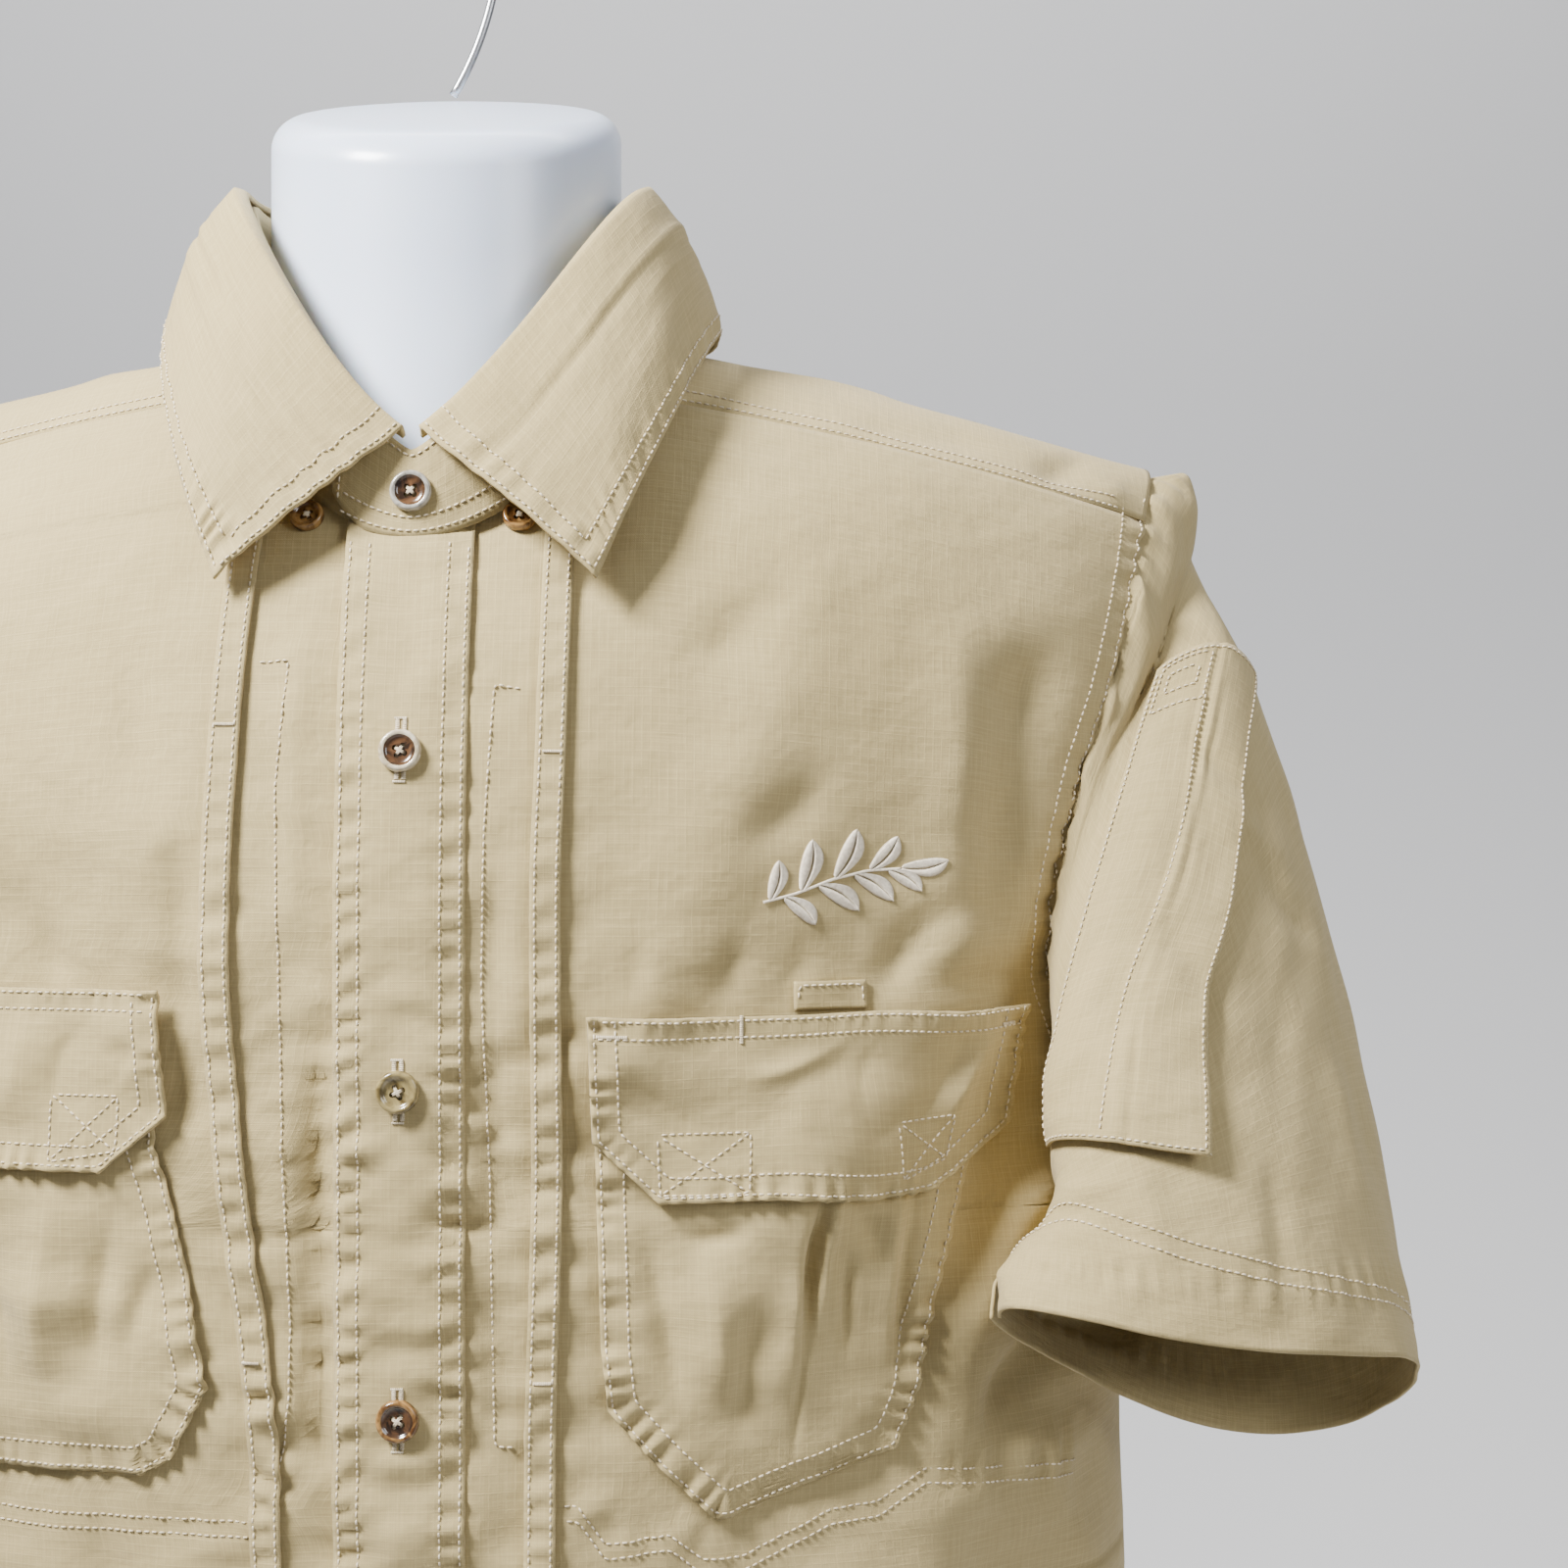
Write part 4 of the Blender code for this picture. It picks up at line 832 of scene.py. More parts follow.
def front_ways():
    """The fronts' rows, hem to yoke seam, closer at the armpit, with the seam's tucked rows last."""
    low = list(np.arange(HEM_Z, LOW_ROWS_END, 2.0 * PANEL_STEP))
    low += list(np.arange(LOW_ROWS_END, 0.5180, PANEL_STEP)) + list(ARMPIT_ROWS[:-1])
    rows = [z - CHEST_Z for z in low + list(np.arange(ARMPIT_ROWS[-1], CHEST_Z, PANEL_STEP))]
    top = seam_way(YOKE_FRONT_DROP)
    return np.array(rows + list(np.linspace(0.0, top, 52)) + [top + tuck for tuck in YOKE_TUCKS])


def front_panel(name, node, side, inner_x):
    """A front from its inner edge to its side seam or armhole."""
    ways = front_ways()
    start = turn_at(np.full(len(ways), inner_x), ways)
    begin = row_edge(ways, start, side * 1.2, under_collar)
    end = row_edge(ways, side * SIDE_TURN, side * 0.9, in_armhole)
    shares = np.linspace(0.0, 1.0, FRONT_COLUMNS)
    if side < 0:
        begin, end = end, begin
    turns = begin[:, None] + (end - begin)[:, None] * shares
    way_grid = np.broadcast_to(ways[:, None], turns.shape)
    base = trunk_point(turns, way_grid)
    relief = front_relief(base[..., 0], base[..., 2]) * (1.0 - 0.8 * ease(0.745, 0.770, base[..., 2]))
    relief[-len(YOKE_TUCKS):] -= TUCK_DEPTH
    relief *= ease(SIDE_TURN, SIDE_TURN - SIDE_FADE, np.abs(turns))
    grid, _ = raised(turns, way_grid, relief)
    cloth_piece(name, grid, grain_of(grid), node)


front_panel("left_front", "front_left", 1, UNDERLAP + 0.0015)
front_panel("right_front", "front_right", -1, UNDERLAP)

# Back: one plain panel, hung from the yoke seam in broad uneven folds, hemmed square.
BACK_CREASES = (
    # from x, from z, to x, to z, half width, height, sideways bow
    (0.120, 0.660, 0.070, 0.560, 0.0080, 0.0022, 0.004),
    (-0.130, 0.660, -0.075, 0.550, 0.0080, 0.0022, -0.004),
    (0.045, 0.670, 0.040, 0.480, 0.0080, -0.0026, 0.003),
    (-0.040, 0.670, -0.048, 0.500, 0.0080, -0.0024, -0.003),
    (0.190, 0.600, 0.150, 0.500, 0.0090, -0.0034, 0.004),
    (-0.190, 0.600, -0.150, 0.500, 0.0090, -0.0034, -0.004),
    (0.130, 0.440, 0.140, 0.200, 0.0120, -0.0036, 0.006),
    (-0.125, 0.430, -0.140, 0.180, 0.0120, -0.0036, -0.006),
    (0.050, 0.380, 0.045, 0.080, 0.0100, 0.0030, 0.004),
    (-0.045, 0.360, -0.050, 0.070, 0.0100, 0.0030, 0.004),
)
BACK_ARMHOLE_PUCKERS = (0.0085, 0.0050, 0.0008)
BACK_SEAM_PUCKERS = (0.0110, 0.0050, 0.0004)


def back_relief(x, z):
    """How far the back's cloth stands above or below its smooth surface."""
    seam = float(ridge_z(SEAM_X)) - YOKE_BACK_DROP
    relief = crease_height(BACK_CREASES, x, z)
    relief += 0.0008 * swells(x, z, 0.040, 11) + 0.0005 * swells(x, z * 1.4, 0.018, 12)
    for side in (1, -1):
        relief += puckers(ARMHOLE_LINES[side], x, z, *BACK_ARMHOLE_PUCKERS)
    relief += puckers(((-0.2, seam), (0.2, seam)), x, z, *BACK_SEAM_PUCKERS)
    return relief


def back_panel():
    """The back from the yoke seam, with its tucked rows first, down to the hem."""
    top = seam_way(YOKE_BACK_DROP, back=True) + YOKE_SEAM_GAP
    upper = [top - tuck for tuck in reversed(YOKE_TUCKS)] + list(np.linspace(top, math.pi, 28)[:-1])
    lower = [math.pi + CHEST_Z - z for z in list(np.arange(CHEST_Z, ARMPIT_ROWS[-1], -PANEL_STEP))
             + list(reversed(ARMPIT_ROWS))
             + list(np.arange(0.5160, LOW_ROWS_END, -PANEL_STEP))
             + list(np.arange(LOW_ROWS_END, HEM_Z, -2.0 * PANEL_STEP)) + [HEM_Z]]
    ways = np.array(upper + lower)
    left = row_edge(ways, -SIDE_TURN, -0.6, in_armhole)
    right = row_edge(ways, SIDE_TURN, 0.6, in_armhole)
    turns = left[:, None] + (right - left)[:, None] * np.linspace(0.0, 1.0, BACK_COLUMNS)
    way_grid = np.broadcast_to(ways[:, None], turns.shape)
    base = trunk_point(turns, way_grid)
    relief = back_relief(base[..., 0], base[..., 2])
    relief[:len(YOKE_TUCKS)] -= TUCK_DEPTH
    relief *= ease(SIDE_TURN, SIDE_TURN - SIDE_FADE, np.abs(turns))
    grid, _ = raised(turns, way_grid, relief)
    cloth_piece("back_panel", grid, grain_of(grid), "back")


back_panel()

# Yoke: one piece over both shoulders and behind the neck. It carries the shirt's weight,
# so it lies close, with a few strained lines and a crumpled end beside each sleeve head.
YOKE_CREASES = (
    # from x, from y, to x, to y, half width, height, sideways bow
    (0.205, -0.060, 0.226, -0.020, 0.0060, 0.0022, 0.002),
    (0.192, -0.050, 0.216, -0.010, 0.0050, -0.0020, 0.002),
    (0.130, -0.055, 0.185, -0.035, 0.0070, -0.0012, 0.003),
    (0.100, -0.030, 0.160, 0.010, 0.0090, 0.0012, 0.004),
    (-0.205, -0.060, -0.226, -0.020, 0.0060, 0.0020, 0.002),
    (-0.190, -0.045, -0.214, -0.005, 0.0050, -0.0018, 0.002),
    (-0.100, -0.030, -0.150, 0.020, 0.0090, 0.0012, 0.004),
    (0.060, 0.060, 0.150, 0.050, 0.0090, -0.0014, 0.004),
    (-0.060, 0.060, -0.140, 0.056, 0.0090, -0.0014, 0.004),
)
RADIAN_LENGTH = 0.12
YOKE_FRONT_WAY = seam_way(YOKE_FRONT_DROP) + YOKE_SEAM_GAP
YOKE_BACK_WAY = seam_way(YOKE_BACK_DROP, back=True) - YOKE_SEAM_GAP
YOKE_SIDE_COLUMNS = 56
YOKE_MIDDLE_COLUMNS = 42


def yoke_relief(x, y, way):
    """Strained lines and swells that die out at the yoke's two seams."""
    from_seam = np.minimum(np.abs(way - YOKE_FRONT_WAY), np.abs(way - YOKE_BACK_WAY)) * RADIAN_LENGTH
    relief = crease_height(YOKE_CREASES, x, y) + 0.0008 * swells(x, y, 0.022, 21)
    return relief * (0.08 + 0.92 * ease(0.0, 0.011, from_seam))


def yoke_piece():
    """One grid of three blocks: both shoulders, and between them the part behind the neck."""
    front_rows = np.linspace(YOKE_FRONT_WAY, math.pi / 2, 18)[:-1]
    ways = np.concatenate([front_rows, np.linspace(math.pi / 2, YOKE_BACK_WAY, 44)])
    behind = ways >= math.pi / 2 - 1e-9
    edge_x = NECK_HALF + SEAM_GAP
    shares = np.linspace(0.0, 1.0, YOKE_SIDE_COLUMNS)
    blocks = {}
    for side in (-1, 1):
        inner = turn_at(np.full(len(ways), side * edge_x), ways)
        inner = row_edge(ways, inner, side * 1.2, under_collar)
        end = row_edge(ways, side * (math.pi / 2 - 0.004), side * 0.6, in_armhole)
        blocks[side] = inner[:, None] + (end - inner)[:, None] * shares
    middle_shares = np.linspace(0.0, 1.0, YOKE_MIDDLE_COLUMNS)[1:-1]
    first, last = blocks[-1][:, :1], blocks[1][:, :1]
    middle = first + (last - first) * middle_shares
    turns = np.concatenate([blocks[-1][:, ::-1], middle, blocks[1]], axis=1)
    way_grid = np.broadcast_to(ways[:, None], turns.shape).copy()
    columns = slice(YOKE_SIDE_COLUMNS, YOKE_SIDE_COLUMNS + YOKE_MIDDLE_COLUMNS - 2)
    here = turns[behind][:, columns]
    edge = halved(np.full(here.shape, YOKE_BACK_WAY), np.full(here.shape, math.pi / 2),
                  lambda way: under_collar(trunk_point(here, way)))
    fall = np.linspace(0.0, 1.0, behind.sum())[:, None]
    block = way_grid[behind]
    block[:, columns] = edge + (YOKE_BACK_WAY - edge) * fall
    way_grid[behind] = block
    base = trunk_point(turns, way_grid)
    grid, _ = raised(turns, way_grid, yoke_relief(base[..., 0], base[..., 1], way_grid))
    grid[~behind, columns] = np.nan
    grain = grid_grain(base[..., 0], metres_along(base[:, 4])[:, None])
    cloth_piece("shoulder_yoke", grid, grain, "yoke")


yoke_piece()

# Sleeves: set-in short sleeves, each one piece sewn up under the arm, with the head's
# slack cloth fallen in below the shoulder and a deep stitched hem that stands open.
HEM_RING_MIDDLE = np.array([0.2440, -0.1000, 0.4790])
HEM_RING_OUT = np.array([0.0660, 0.0180, -0.0120])
HEM_RING_BACK = np.array([0.0090, 0.0440, -0.0229])
HEM_RING_SAG = np.array([0.0, 0.0, -0.0132])
SLEEVE_CLEARANCE = 0.0045
SLEEVE_TURN_BACK = 0.0024
SLEEVE_LEAVES = (
    # angle round the armhole, then the cloth's direction and pull as it leaves the seam
    (0.0, 0.062, 0.000, -0.012),
    (60.0, 0.055, -0.030, -0.030),
    (100.0, 0.012, -0.090, -0.050),
    (140.0, -0.040, -0.100, -0.040),
    (180.0, 0.000, -0.120, -0.120),
    (205.0, 0.020, -0.030, -0.280),
    (230.0, 0.240, -0.010, -0.360),
    (250.0, 0.280, 0.000, -0.180),
    (280.0, 0.170, 0.010, -0.100),
    (320.0, 0.100, 0.010, -0.055),
    (360.0, 0.062, 0.000, -0.012),
)
SLEEVE_ARRIVES = np.array([-0.010, -0.055, -0.115])
SLEEVE_FIRST_SHARE = 0.010
SLEEVE_LENGTH = 0.255
SLEEVE_ROUND = 0.066
SLEEVE_TUCKS = (
    # rows turned in behind the armhole: growth of the armhole, narrowing in x and y, share
    (0.0070, 0.980, 0.955, -0.030),
    (0.0015, 0.988, 0.970, -0.008),
)
SLEEVE_SWELLS = (
    # height, size, first seed
    (0.0016, 0.034, 30),
    (0.0007, 0.014, 40),
)
SLEEVE_GATHERS = (
    # at the head and along the hem's stitches: share, reach, height, beat, drift and its beat
    (0.020, 0.045, 0.0011, 46.0, 2.0, 7.0),
    (0.883, 0.030, 0.0007, 62.0, 1.7, 11.0),
)
SLEEVE_CREASES = (
    # seen from the front: from x, from z, to x, to z, half width, height, sideways bow
    (0.262, 0.623, 0.281, 0.600, 0.0040, -0.0020, 0.002),
    (0.254, 0.640, 0.272, 0.625, 0.0036, 0.0010, 0.002),
    (0.227, 0.612, 0.246, 0.578, 0.0060, -0.0014, 0.003),
    (0.240, 0.668, 0.262, 0.640, 0.0045, -0.0016, 0.002),
    (0.256, 0.540, 0.260, 0.490, 0.0042, -0.0016, 0.001),
    (0.285, 0.570, 0.292, 0.510, 0.0060, 0.0016, 0.002),
    (0.212, 0.560, 0.224, 0.505, 0.0060, 0.0014, 0.002),
    (0.272, 0.600, 0.262, 0.550, 0.0060, -0.0012, 0.002),
    (0.222, 0.730, 0.232, 0.690, 0.0040, 0.0020, 0.001),
    (0.216, 0.715, 0.220, 0.680, 0.0035, -0.0022, 0.001),
)


def clear_of_trunk(point, gap):
    """Moves points out of the trunk's round section until they are clear of it by a gap."""
    x, y, z = point[..., 0], point[..., 1], point[..., 2]
    half_width = smooth_table(TRUNK_WIDTHS, z, 1) + gap
    depth = np.where(y < 0.0, FRONT_DEPTH, BACK_DEPTH) + gap
    share = np.clip((z - CHEST_Z) / (ridge_z(x) - CHEST_Z), 0.0, 1.0)
    depth = depth * np.maximum(0.05, 1.0 - share ** TOP_POWER) ** (1.0 / TOP_POWER)
    fold = np.where(y > 0.0, fold_height(BACK_FOLDS, x, z), fold_height(FRONT_FOLDS, x, z))
    fold = np.maximum(0.0, fold)
    half_width, depth = half_width + fold, depth + fold
    size = np.abs(x / half_width) ** ROUND_POWER + np.abs(y / depth) ** ROUND_POWER
    grow = np.where((size < 1.0) & (z <= ARMHOLE_TOP), size ** (-1.0 / ROUND_POWER), 1.0)
    return np.stack([x * grow, y * grow, z], axis=-1)


def sleeve_base(share, angle):
    """Points of the left sleeve: from the armhole seam (0) down to the hem ring (1)."""
    share, angle = paired(share, angle)
    angles, back_to = np.unique(angle, return_inverse=True)
    start = armhole_point(angles)[back_to.reshape(angle.shape)]
    share_, cos, sin = share[..., None], np.cos(angle)[..., None], np.sin(angle)[..., None]
    hem = HEM_RING_MIDDLE + HEM_RING_OUT * cos - HEM_RING_BACK * sin + HEM_RING_SAG * sin ** 2
    degrees = np.degrees(angle) % 360.0
    leave = np.stack([smooth_table(SLEEVE_LEAVES, degrees, column) for column in (1, 2, 3)], axis=-1)
    square, cube = share_ ** 2, share_ ** 3
    point = (
        start * (2 * cube - 3 * square + 1)
        + leave * (cube - 2 * square + share_)
        + hem * (3 * square - 2 * cube)
        + SLEEVE_ARRIVES * (cube - square)
    )
    dent = np.exp(-(((share - 0.16) / 0.10) ** 2)) * np.maximum(0.0, np.cos(angle - 0.75)) ** 3
    point = point + np.array([-0.010, 0.008, -0.006]) * dent[..., None]
    crease = np.sin(3.0 * angle + 5.0 * share) * 0.0028 * ease(0.15, 0.6, share)
    armhole_middle = np.array([0.212, 0.0, (ARMHOLE_TOP + ARMHOLE_BOTTOM) / 2.0])
    ring_middle = armhole_middle + (HEM_RING_MIDDLE - armhole_middle) * share_
    axis = start + (hem - start) * share_ - ring_middle
    point = point + unit(axis) * crease[..., None]
    lower = ease(-0.60, 0.10, -np.cos(angle))
    near_seam = 1.0 - ease(0.0, 0.12, share)
    gap = SLEEVE_CLEARANCE * (1.0 - near_seam) + SLEEVE_TURN_BACK * lower * near_seam
    return clear_of_trunk(point, gap)


def sleeve_laid(share, angle, lift, seed=1):
    """Points on the left sleeve's creased cloth, lifted off it, and the way out there."""
    step = 0.012
    share, angle = paired(share, angle)
    low, high = np.maximum(share - step, 0.0), np.minimum(share + step, 1.0)
    down = sleeve_base(high, angle) - sleeve_base(low, angle)
    around = sleeve_base(share, angle + step) - sleeve_base(share, angle - step)
    out = unit(np.cross(around, down))
    base = sleeve_base(share, angle)
    x, z = base[..., 0], base[..., 2]
    seen = ease(0.0, 0.45, -out[..., 1])
    relief = seen * crease_height(SLEEVE_CREASES, x + 0.002 * (seed - 1), z)
    for height, size, first_seed in SLEEVE_SWELLS:
        relief = relief + height * swells(angle * 0.065, share * 0.25, size, first_seed + seed)
    for middle, reach, height, beat, drift, drift_beat in SLEEVE_GATHERS:
        near = np.exp(-(((share - middle) / reach) ** 2))
        relief = relief + height * near * np.sin(angle * beat + drift * np.sin(angle * drift_beat))
    wall = WALL * ease(0.0, 0.05, share)
    return base + out * (wall + relief + lift)[..., None], out


def sleeve_piece(name, node, side):
    """A sleeve's grid from under the arm round to under the arm, with its seam turned in."""
    angles = np.linspace(math.pi, 3.0 * math.pi, 190)
    shares = np.concatenate([np.linspace(SLEEVE_FIRST_SHARE, 0.20, 26)[:-1], np.linspace(0.20, 1.0, 76)])
    grid, _ = sleeve_laid(shares[:, None], angles[None, :], 0.0, seed=1 if side > 0 else 2)
    tucked = [armhole_point(angles, grow) * (narrow, shallow, 1.0)
              for grow, narrow, shallow, _ in SLEEVE_TUCKS]
    for row in tucked:
        row[:, 2] -= 0.0050 * ease(0.700, ARMHOLE_TOP, row[:, 2])
    grid = np.concatenate([np.array(tucked), grid])
    shares = np.concatenate([[row[-1] for row in SLEEVE_TUCKS], shares])
    grid[..., 0] *= side
    grain = grid_grain(angles * SLEEVE_ROUND, shares[:, None] * SLEEVE_LENGTH)
    cloth_piece(name, grid, grain, node, 0.0010, flip=side < 0)


sleeve_piece("left_sleeve", "sleeve_left", 1)
sleeve_piece("right_sleeve", "sleeve_right", -1)

# Sleeve pen pocket: a long narrow patch edge-stitched on the left sleeve, divided down
# its length, with a small bound pen slot let into its top corner.
SLEEVE_POCKET_LIFT = 0.0031
SLEEVE_POCKET = (
    # share of its own length, then the sleeve's share and angle at its outer and front edges
    (0.0, 0.34, 12.0, 0.21, 50.0),
    (0.2, 0.38, 42.0, 0.20, 70.0),
    (0.4, 0.45, 62.0, 0.22, 90.0),
    (0.6, 0.51, 76.0, 0.26, 110.0),
    (0.8, 0.61, 82.0, 0.33, 124.0),
    (1.0, 0.69, 86.0, 0.43, 134.0),
)


def sleeve_pocket_laid(down, across, lift=0.0):
    """Points on the pen pocket, down its length and across from its outer to its front edge."""
    down, across = paired(down, across)
    outer_share, outer_angle, front_share, front_angle = (
        smooth_table(SLEEVE_POCKET, down, column) for column in (1, 2, 3, 4))
    share = outer_share + (front_share - outer_share) * across + 0.11 * down * across * (1.0 - across)
    angle = np.radians(outer_angle + (front_angle - outer_angle) * across)
    relief = 0.0009 * swells(across * 0.045, down * 0.16, 0.020, 50)
    divide = np.exp(-((across - 0.45) / 0.10) ** 2)
    relief = relief + 0.0008 * divide * swells(across, down * 0.16, 0.03, 51)
    return sleeve_laid(share, angle, SLEEVE_POCKET_LIFT + relief + lift)


pen_down, pen_across = np.linspace(0.0, 1.0, 90)[:, None], np.linspace(0.0, 1.0, 44)
pen_grid, _ = sleeve_pocket_laid(pen_down, pen_across)
cloth_piece("sleeve_pen_pocket", pen_grid, grid_grain(pen_across * 0.050, pen_down * 0.165),
            "sleeve_pocket", thick=0.0011)

# Placket: the left front's doubled edge, 38 mm wide, double-stitched down both sides,
# buttonholed, and drawn into short puckers between its stitch rows.
PLACKET_TOP = 0.7255
PLACKET_LIFT = 0.0027
PLACKET_SETTLES = 0.0016
NECK_CURVE = 5.5
STRIP_STEP = 0.0020
WELT_HALF = 0.0045
WELT_LIFT = 0.0024


def strip_relief(x, z, middle, half):
    """Puckers between the stitch rows on both sides of a strip, stronger lower down."""
    strength = 0.35 + 0.65 * ease(0.70, 0.56, z)
    relief = np.zeros(np.shape(x))
    for edge, seed in ((-1, 0.0), (1, 1.3)):
        distance = np.abs((x - middle) * edge - half + 0.0046)
        wave = np.sin(z * 760.0 + seed + 1.7 * np.sin(z * 131.0 + seed) + edge * (x - middle) * 120.0)
        relief = relief + 0.00115 * strength * wave * np.exp(-((distance / 0.0036) ** 2))
    return relief + 0.0009 * swells(x, z, 0.016, 60)


def placket_laid(x, z, lift=0.0):
    """Points on the placket, which settles onto the front towards its outer edge."""
    settle = PLACKET_SETTLES * ease(0.006, PLACKET_HALF, x)
    return laid(x, z, PLACKET_LIFT - settle + strip_relief(x, z, 0.0, PLACKET_HALF) + lift)


def placket_cut(x, z):
    """The placket with its upper end cut to the neckline's curve."""
    return placket_laid(x, z + NECK_CURVE * x * x * ease(0.60, PLACKET_TOP, z))


def surface_grid(surface, x, heights):
    """Grid of a surface at rows of x, one row a height, and its grain."""
    z = np.broadcast_to(heights[:, None], x.shape)
    return surface(x, z)[0], grid_grain(x, z)


def strip_grid(surface, middles, half, heights, columns):
    """Grid of a strip of even width about its middle line."""
    return surface_grid(surface, middles[:, None] + np.linspace(-half, half, columns), heights)


placket_heights = np.arange(HEM_Z, PLACKET_TOP + STRIP_STEP / 2.0, STRIP_STEP)
placket_grid, placket_grain = strip_grid(placket_cut, np.zeros(len(placket_heights)), PLACKET_HALF,
                                         placket_heights, 30)
cloth_piece("front_placket", placket_grid, placket_grain, "placket",
            thick=0.0015)

# Welts: the long double-stitched openings of the pockets set behind the fronts, each
# folded edge lying on the front and bartacked at both ends.


def welt_laid(table, x, z, lift=0.0):
    """Points on a welt, puckered between its two rows of stitches."""
    middle = smooth_table(table, z, 1)
    wave = np.sin(z * 700.0 + 1.5 * np.sin(z * 117.0) + table[0][1] * 90.0)
    strength = 0.30 + 0.70 * ease(0.68, 0.54, z)
    relief = 0.0009 * strength * wave * np.exp(-(((x - middle) / 0.0036) ** 2))
    return laid(x, z, WELT_LIFT + relief + lift)


for name, node, table in (
        ("left_welt", "welt_left", WELT_LEFT),
        ("right_welt", "welt_right", WELT_RIGHT)):
    heights = np.arange(HEM_Z, WELT_TOP + STRIP_STEP / 2.0, STRIP_STEP)
    middles = smooth_table(table, heights, 1)
    grid, grain = strip_grid(lambda x, z, t=table: welt_laid(t, x, z), middles, WELT_HALF, heights, 9)
    cloth_piece(name, grid, grain, node, thick=0.0010)

# Chest pockets: patch pockets with a chamfered, double-stitched foot. The left one has
# an open pleat that stands a little apart; both bag softly under their flaps.
POCKET_PUFF = 0.0030
POCKET_PUCKERS = (0.0074, 0.0075, 0.0013)
POCKET_LEFT = (
    # height, inner x, outer x
    (0.4345, 0.0905, 0.0960),
    (0.4420, 0.0830, 0.1160),
    (0.4505, 0.0745, 0.1440),
    (0.4670, 0.0600, 0.1510),
    (0.4850, 0.0580, 0.1540),
    (0.5100, 0.0572, 0.1600),
    (0.5410, 0.0563, 0.1680),
    (0.5760, 0.0555, 0.1800),
)
POCKET_RIGHT = (
    # height, inner x, outer x
    (0.4480, -0.1500, -0.0760),
    (0.4530, -0.1540, -0.0670),
    (0.4740, -0.1580, -0.0560),
    (0.5000, -0.1620, -0.0610),
    (0.5250, -0.1660, -0.0665),
    (0.5450, -0.1700, -0.0720),
    (0.5840, -0.1750, -0.0720),
)
POCKET_LEFT_CREASES = (
    # from x, from z, to x, to z, half width, height, sideways bow
    (0.1222, 0.5380, 0.1154, 0.4790, 0.0021, -0.0036, 0.0012),
    (0.1255, 0.5380, 0.1190, 0.4850, 0.0022, 0.0014, 0.0012),
    (0.1180, 0.5360, 0.1110, 0.4700, 0.0040, 0.0014, 0.0010),
    (0.1156, 0.4850, 0.1130, 0.4500, 0.0014, -0.0012, 0.0),
    (0.1500, 0.5350, 0.1460, 0.4700, 0.0026, -0.0024, 0.002),
    (0.1440, 0.5330, 0.1410, 0.4740, 0.0040, 0.0016, 0.001),
    (0.1280, 0.5120, 0.1290, 0.4780, 0.0022, -0.0018, 0.0),
    (0.0912, 0.5140, 0.0945, 0.4660, 0.0065, 0.0020, 0.002),
    (0.0683, 0.5230, 0.0800, 0.4680, 0.0045, -0.0022, -0.002),
    (0.1042, 0.5060, 0.0990, 0.4540, 0.0050, -0.0020, 0.002),
    (0.0800, 0.5180, 0.1000, 0.5200, 0.0040, -0.0014, 0.002),
    (0.1300, 0.5260, 0.1420, 0.5080, 0.0040, -0.0014, 0.001),
)
POCKET_RIGHT_CREASES = (
    # from x, from z, to x, to z, half width, height, sideways bow
    (-0.0830, 0.5300, -0.0900, 0.4700, 0.0050, -0.0020, 0.002),
    (-0.1020, 0.5300, -0.1050, 0.4640, 0.0060, 0.0020, 0.002),
    (-0.1200, 0.5280, -0.1180, 0.4700, 0.0045, -0.0020, 0.001),
    (-0.0720, 0.5100, -0.0800, 0.4820, 0.0040, -0.0016, 0.001),
    (-0.1420, 0.5300, -0.1380, 0.4760, 0.0060, 0.0016, 0.002),
)


def patch_edges(table, z):
    """Inner and outer x of a patch at a height, straight between its corners."""
    rows = np.array(table)
    return np.interp(z, rows[:, 0], rows[:, 1]), np.interp(z, rows[:, 0], rows[:, 2])


def pocket_lift(table, x, z):
    """Height of a pocket's outer face above the front: puffed in its middle."""
    low, high = table[0][0], table[-1][0]
    inner, outer = patch_edges(table, z)
    across = np.clip((x - inner) / (outer - inner), 0.0, 1.0)
    along = np.clip((z - low) / (high - low), 0.0, 1.0)
    return LAY_GAP + WALL + POCKET_PUFF * 16.0 * across * (1.0 - across) * along * (1.0 - along)


def outline_of(table):
    """The patch's outline from its top inner corner round its foot to its top outer one."""
    inner = [(row[1], row[0]) for row in reversed(table)]
    return inner + [(row[2], row[0]) for row in table]


def pocket_laid(table, creases, x, z, lift=0.0):
    """Points on a pocket, puckered along its outline and never sunk into the front."""
    relief = crease_height(creases, x, z) + 0.0009 * swells(x, z, 0.015, 70)
    relief = relief + puckers(outline_of(table), x, z, *POCKET_PUCKERS)
    standing = pocket_lift(table, x, z)
    return laid(x, z, standing + np.maximum(relief, -standing) + lift)


def patch_grid(table, surface, rows, columns):
    """Grid of a patch between its edges, with a row at each of its corners."""
    heights = np.unique(np.concatenate([np.linspace(table[0][0], table[-1][0], rows),
                                        [row[0] for row in table]]))
    inner, outer = patch_edges(table, heights)
    x = inner[:, None] + (outer - inner)[:, None] * np.linspace(0.0, 1.0, columns)
    return surface_grid(surface, x, heights)


for name, node, table, creases, front in (
        ("left_pocket", "pocket_left", POCKET_LEFT, POCKET_LEFT_CREASES, "left_front"),
        ("right_pocket", "pocket_right", POCKET_RIGHT, POCKET_RIGHT_CREASES, "right_front")):
    grid, grain = patch_grid(table, lambda x, z, t=table, c=creases: pocket_laid(t, c, x, z), 110, 100)
    cloth_piece(name, grid, grain, node, thick=0.0008)

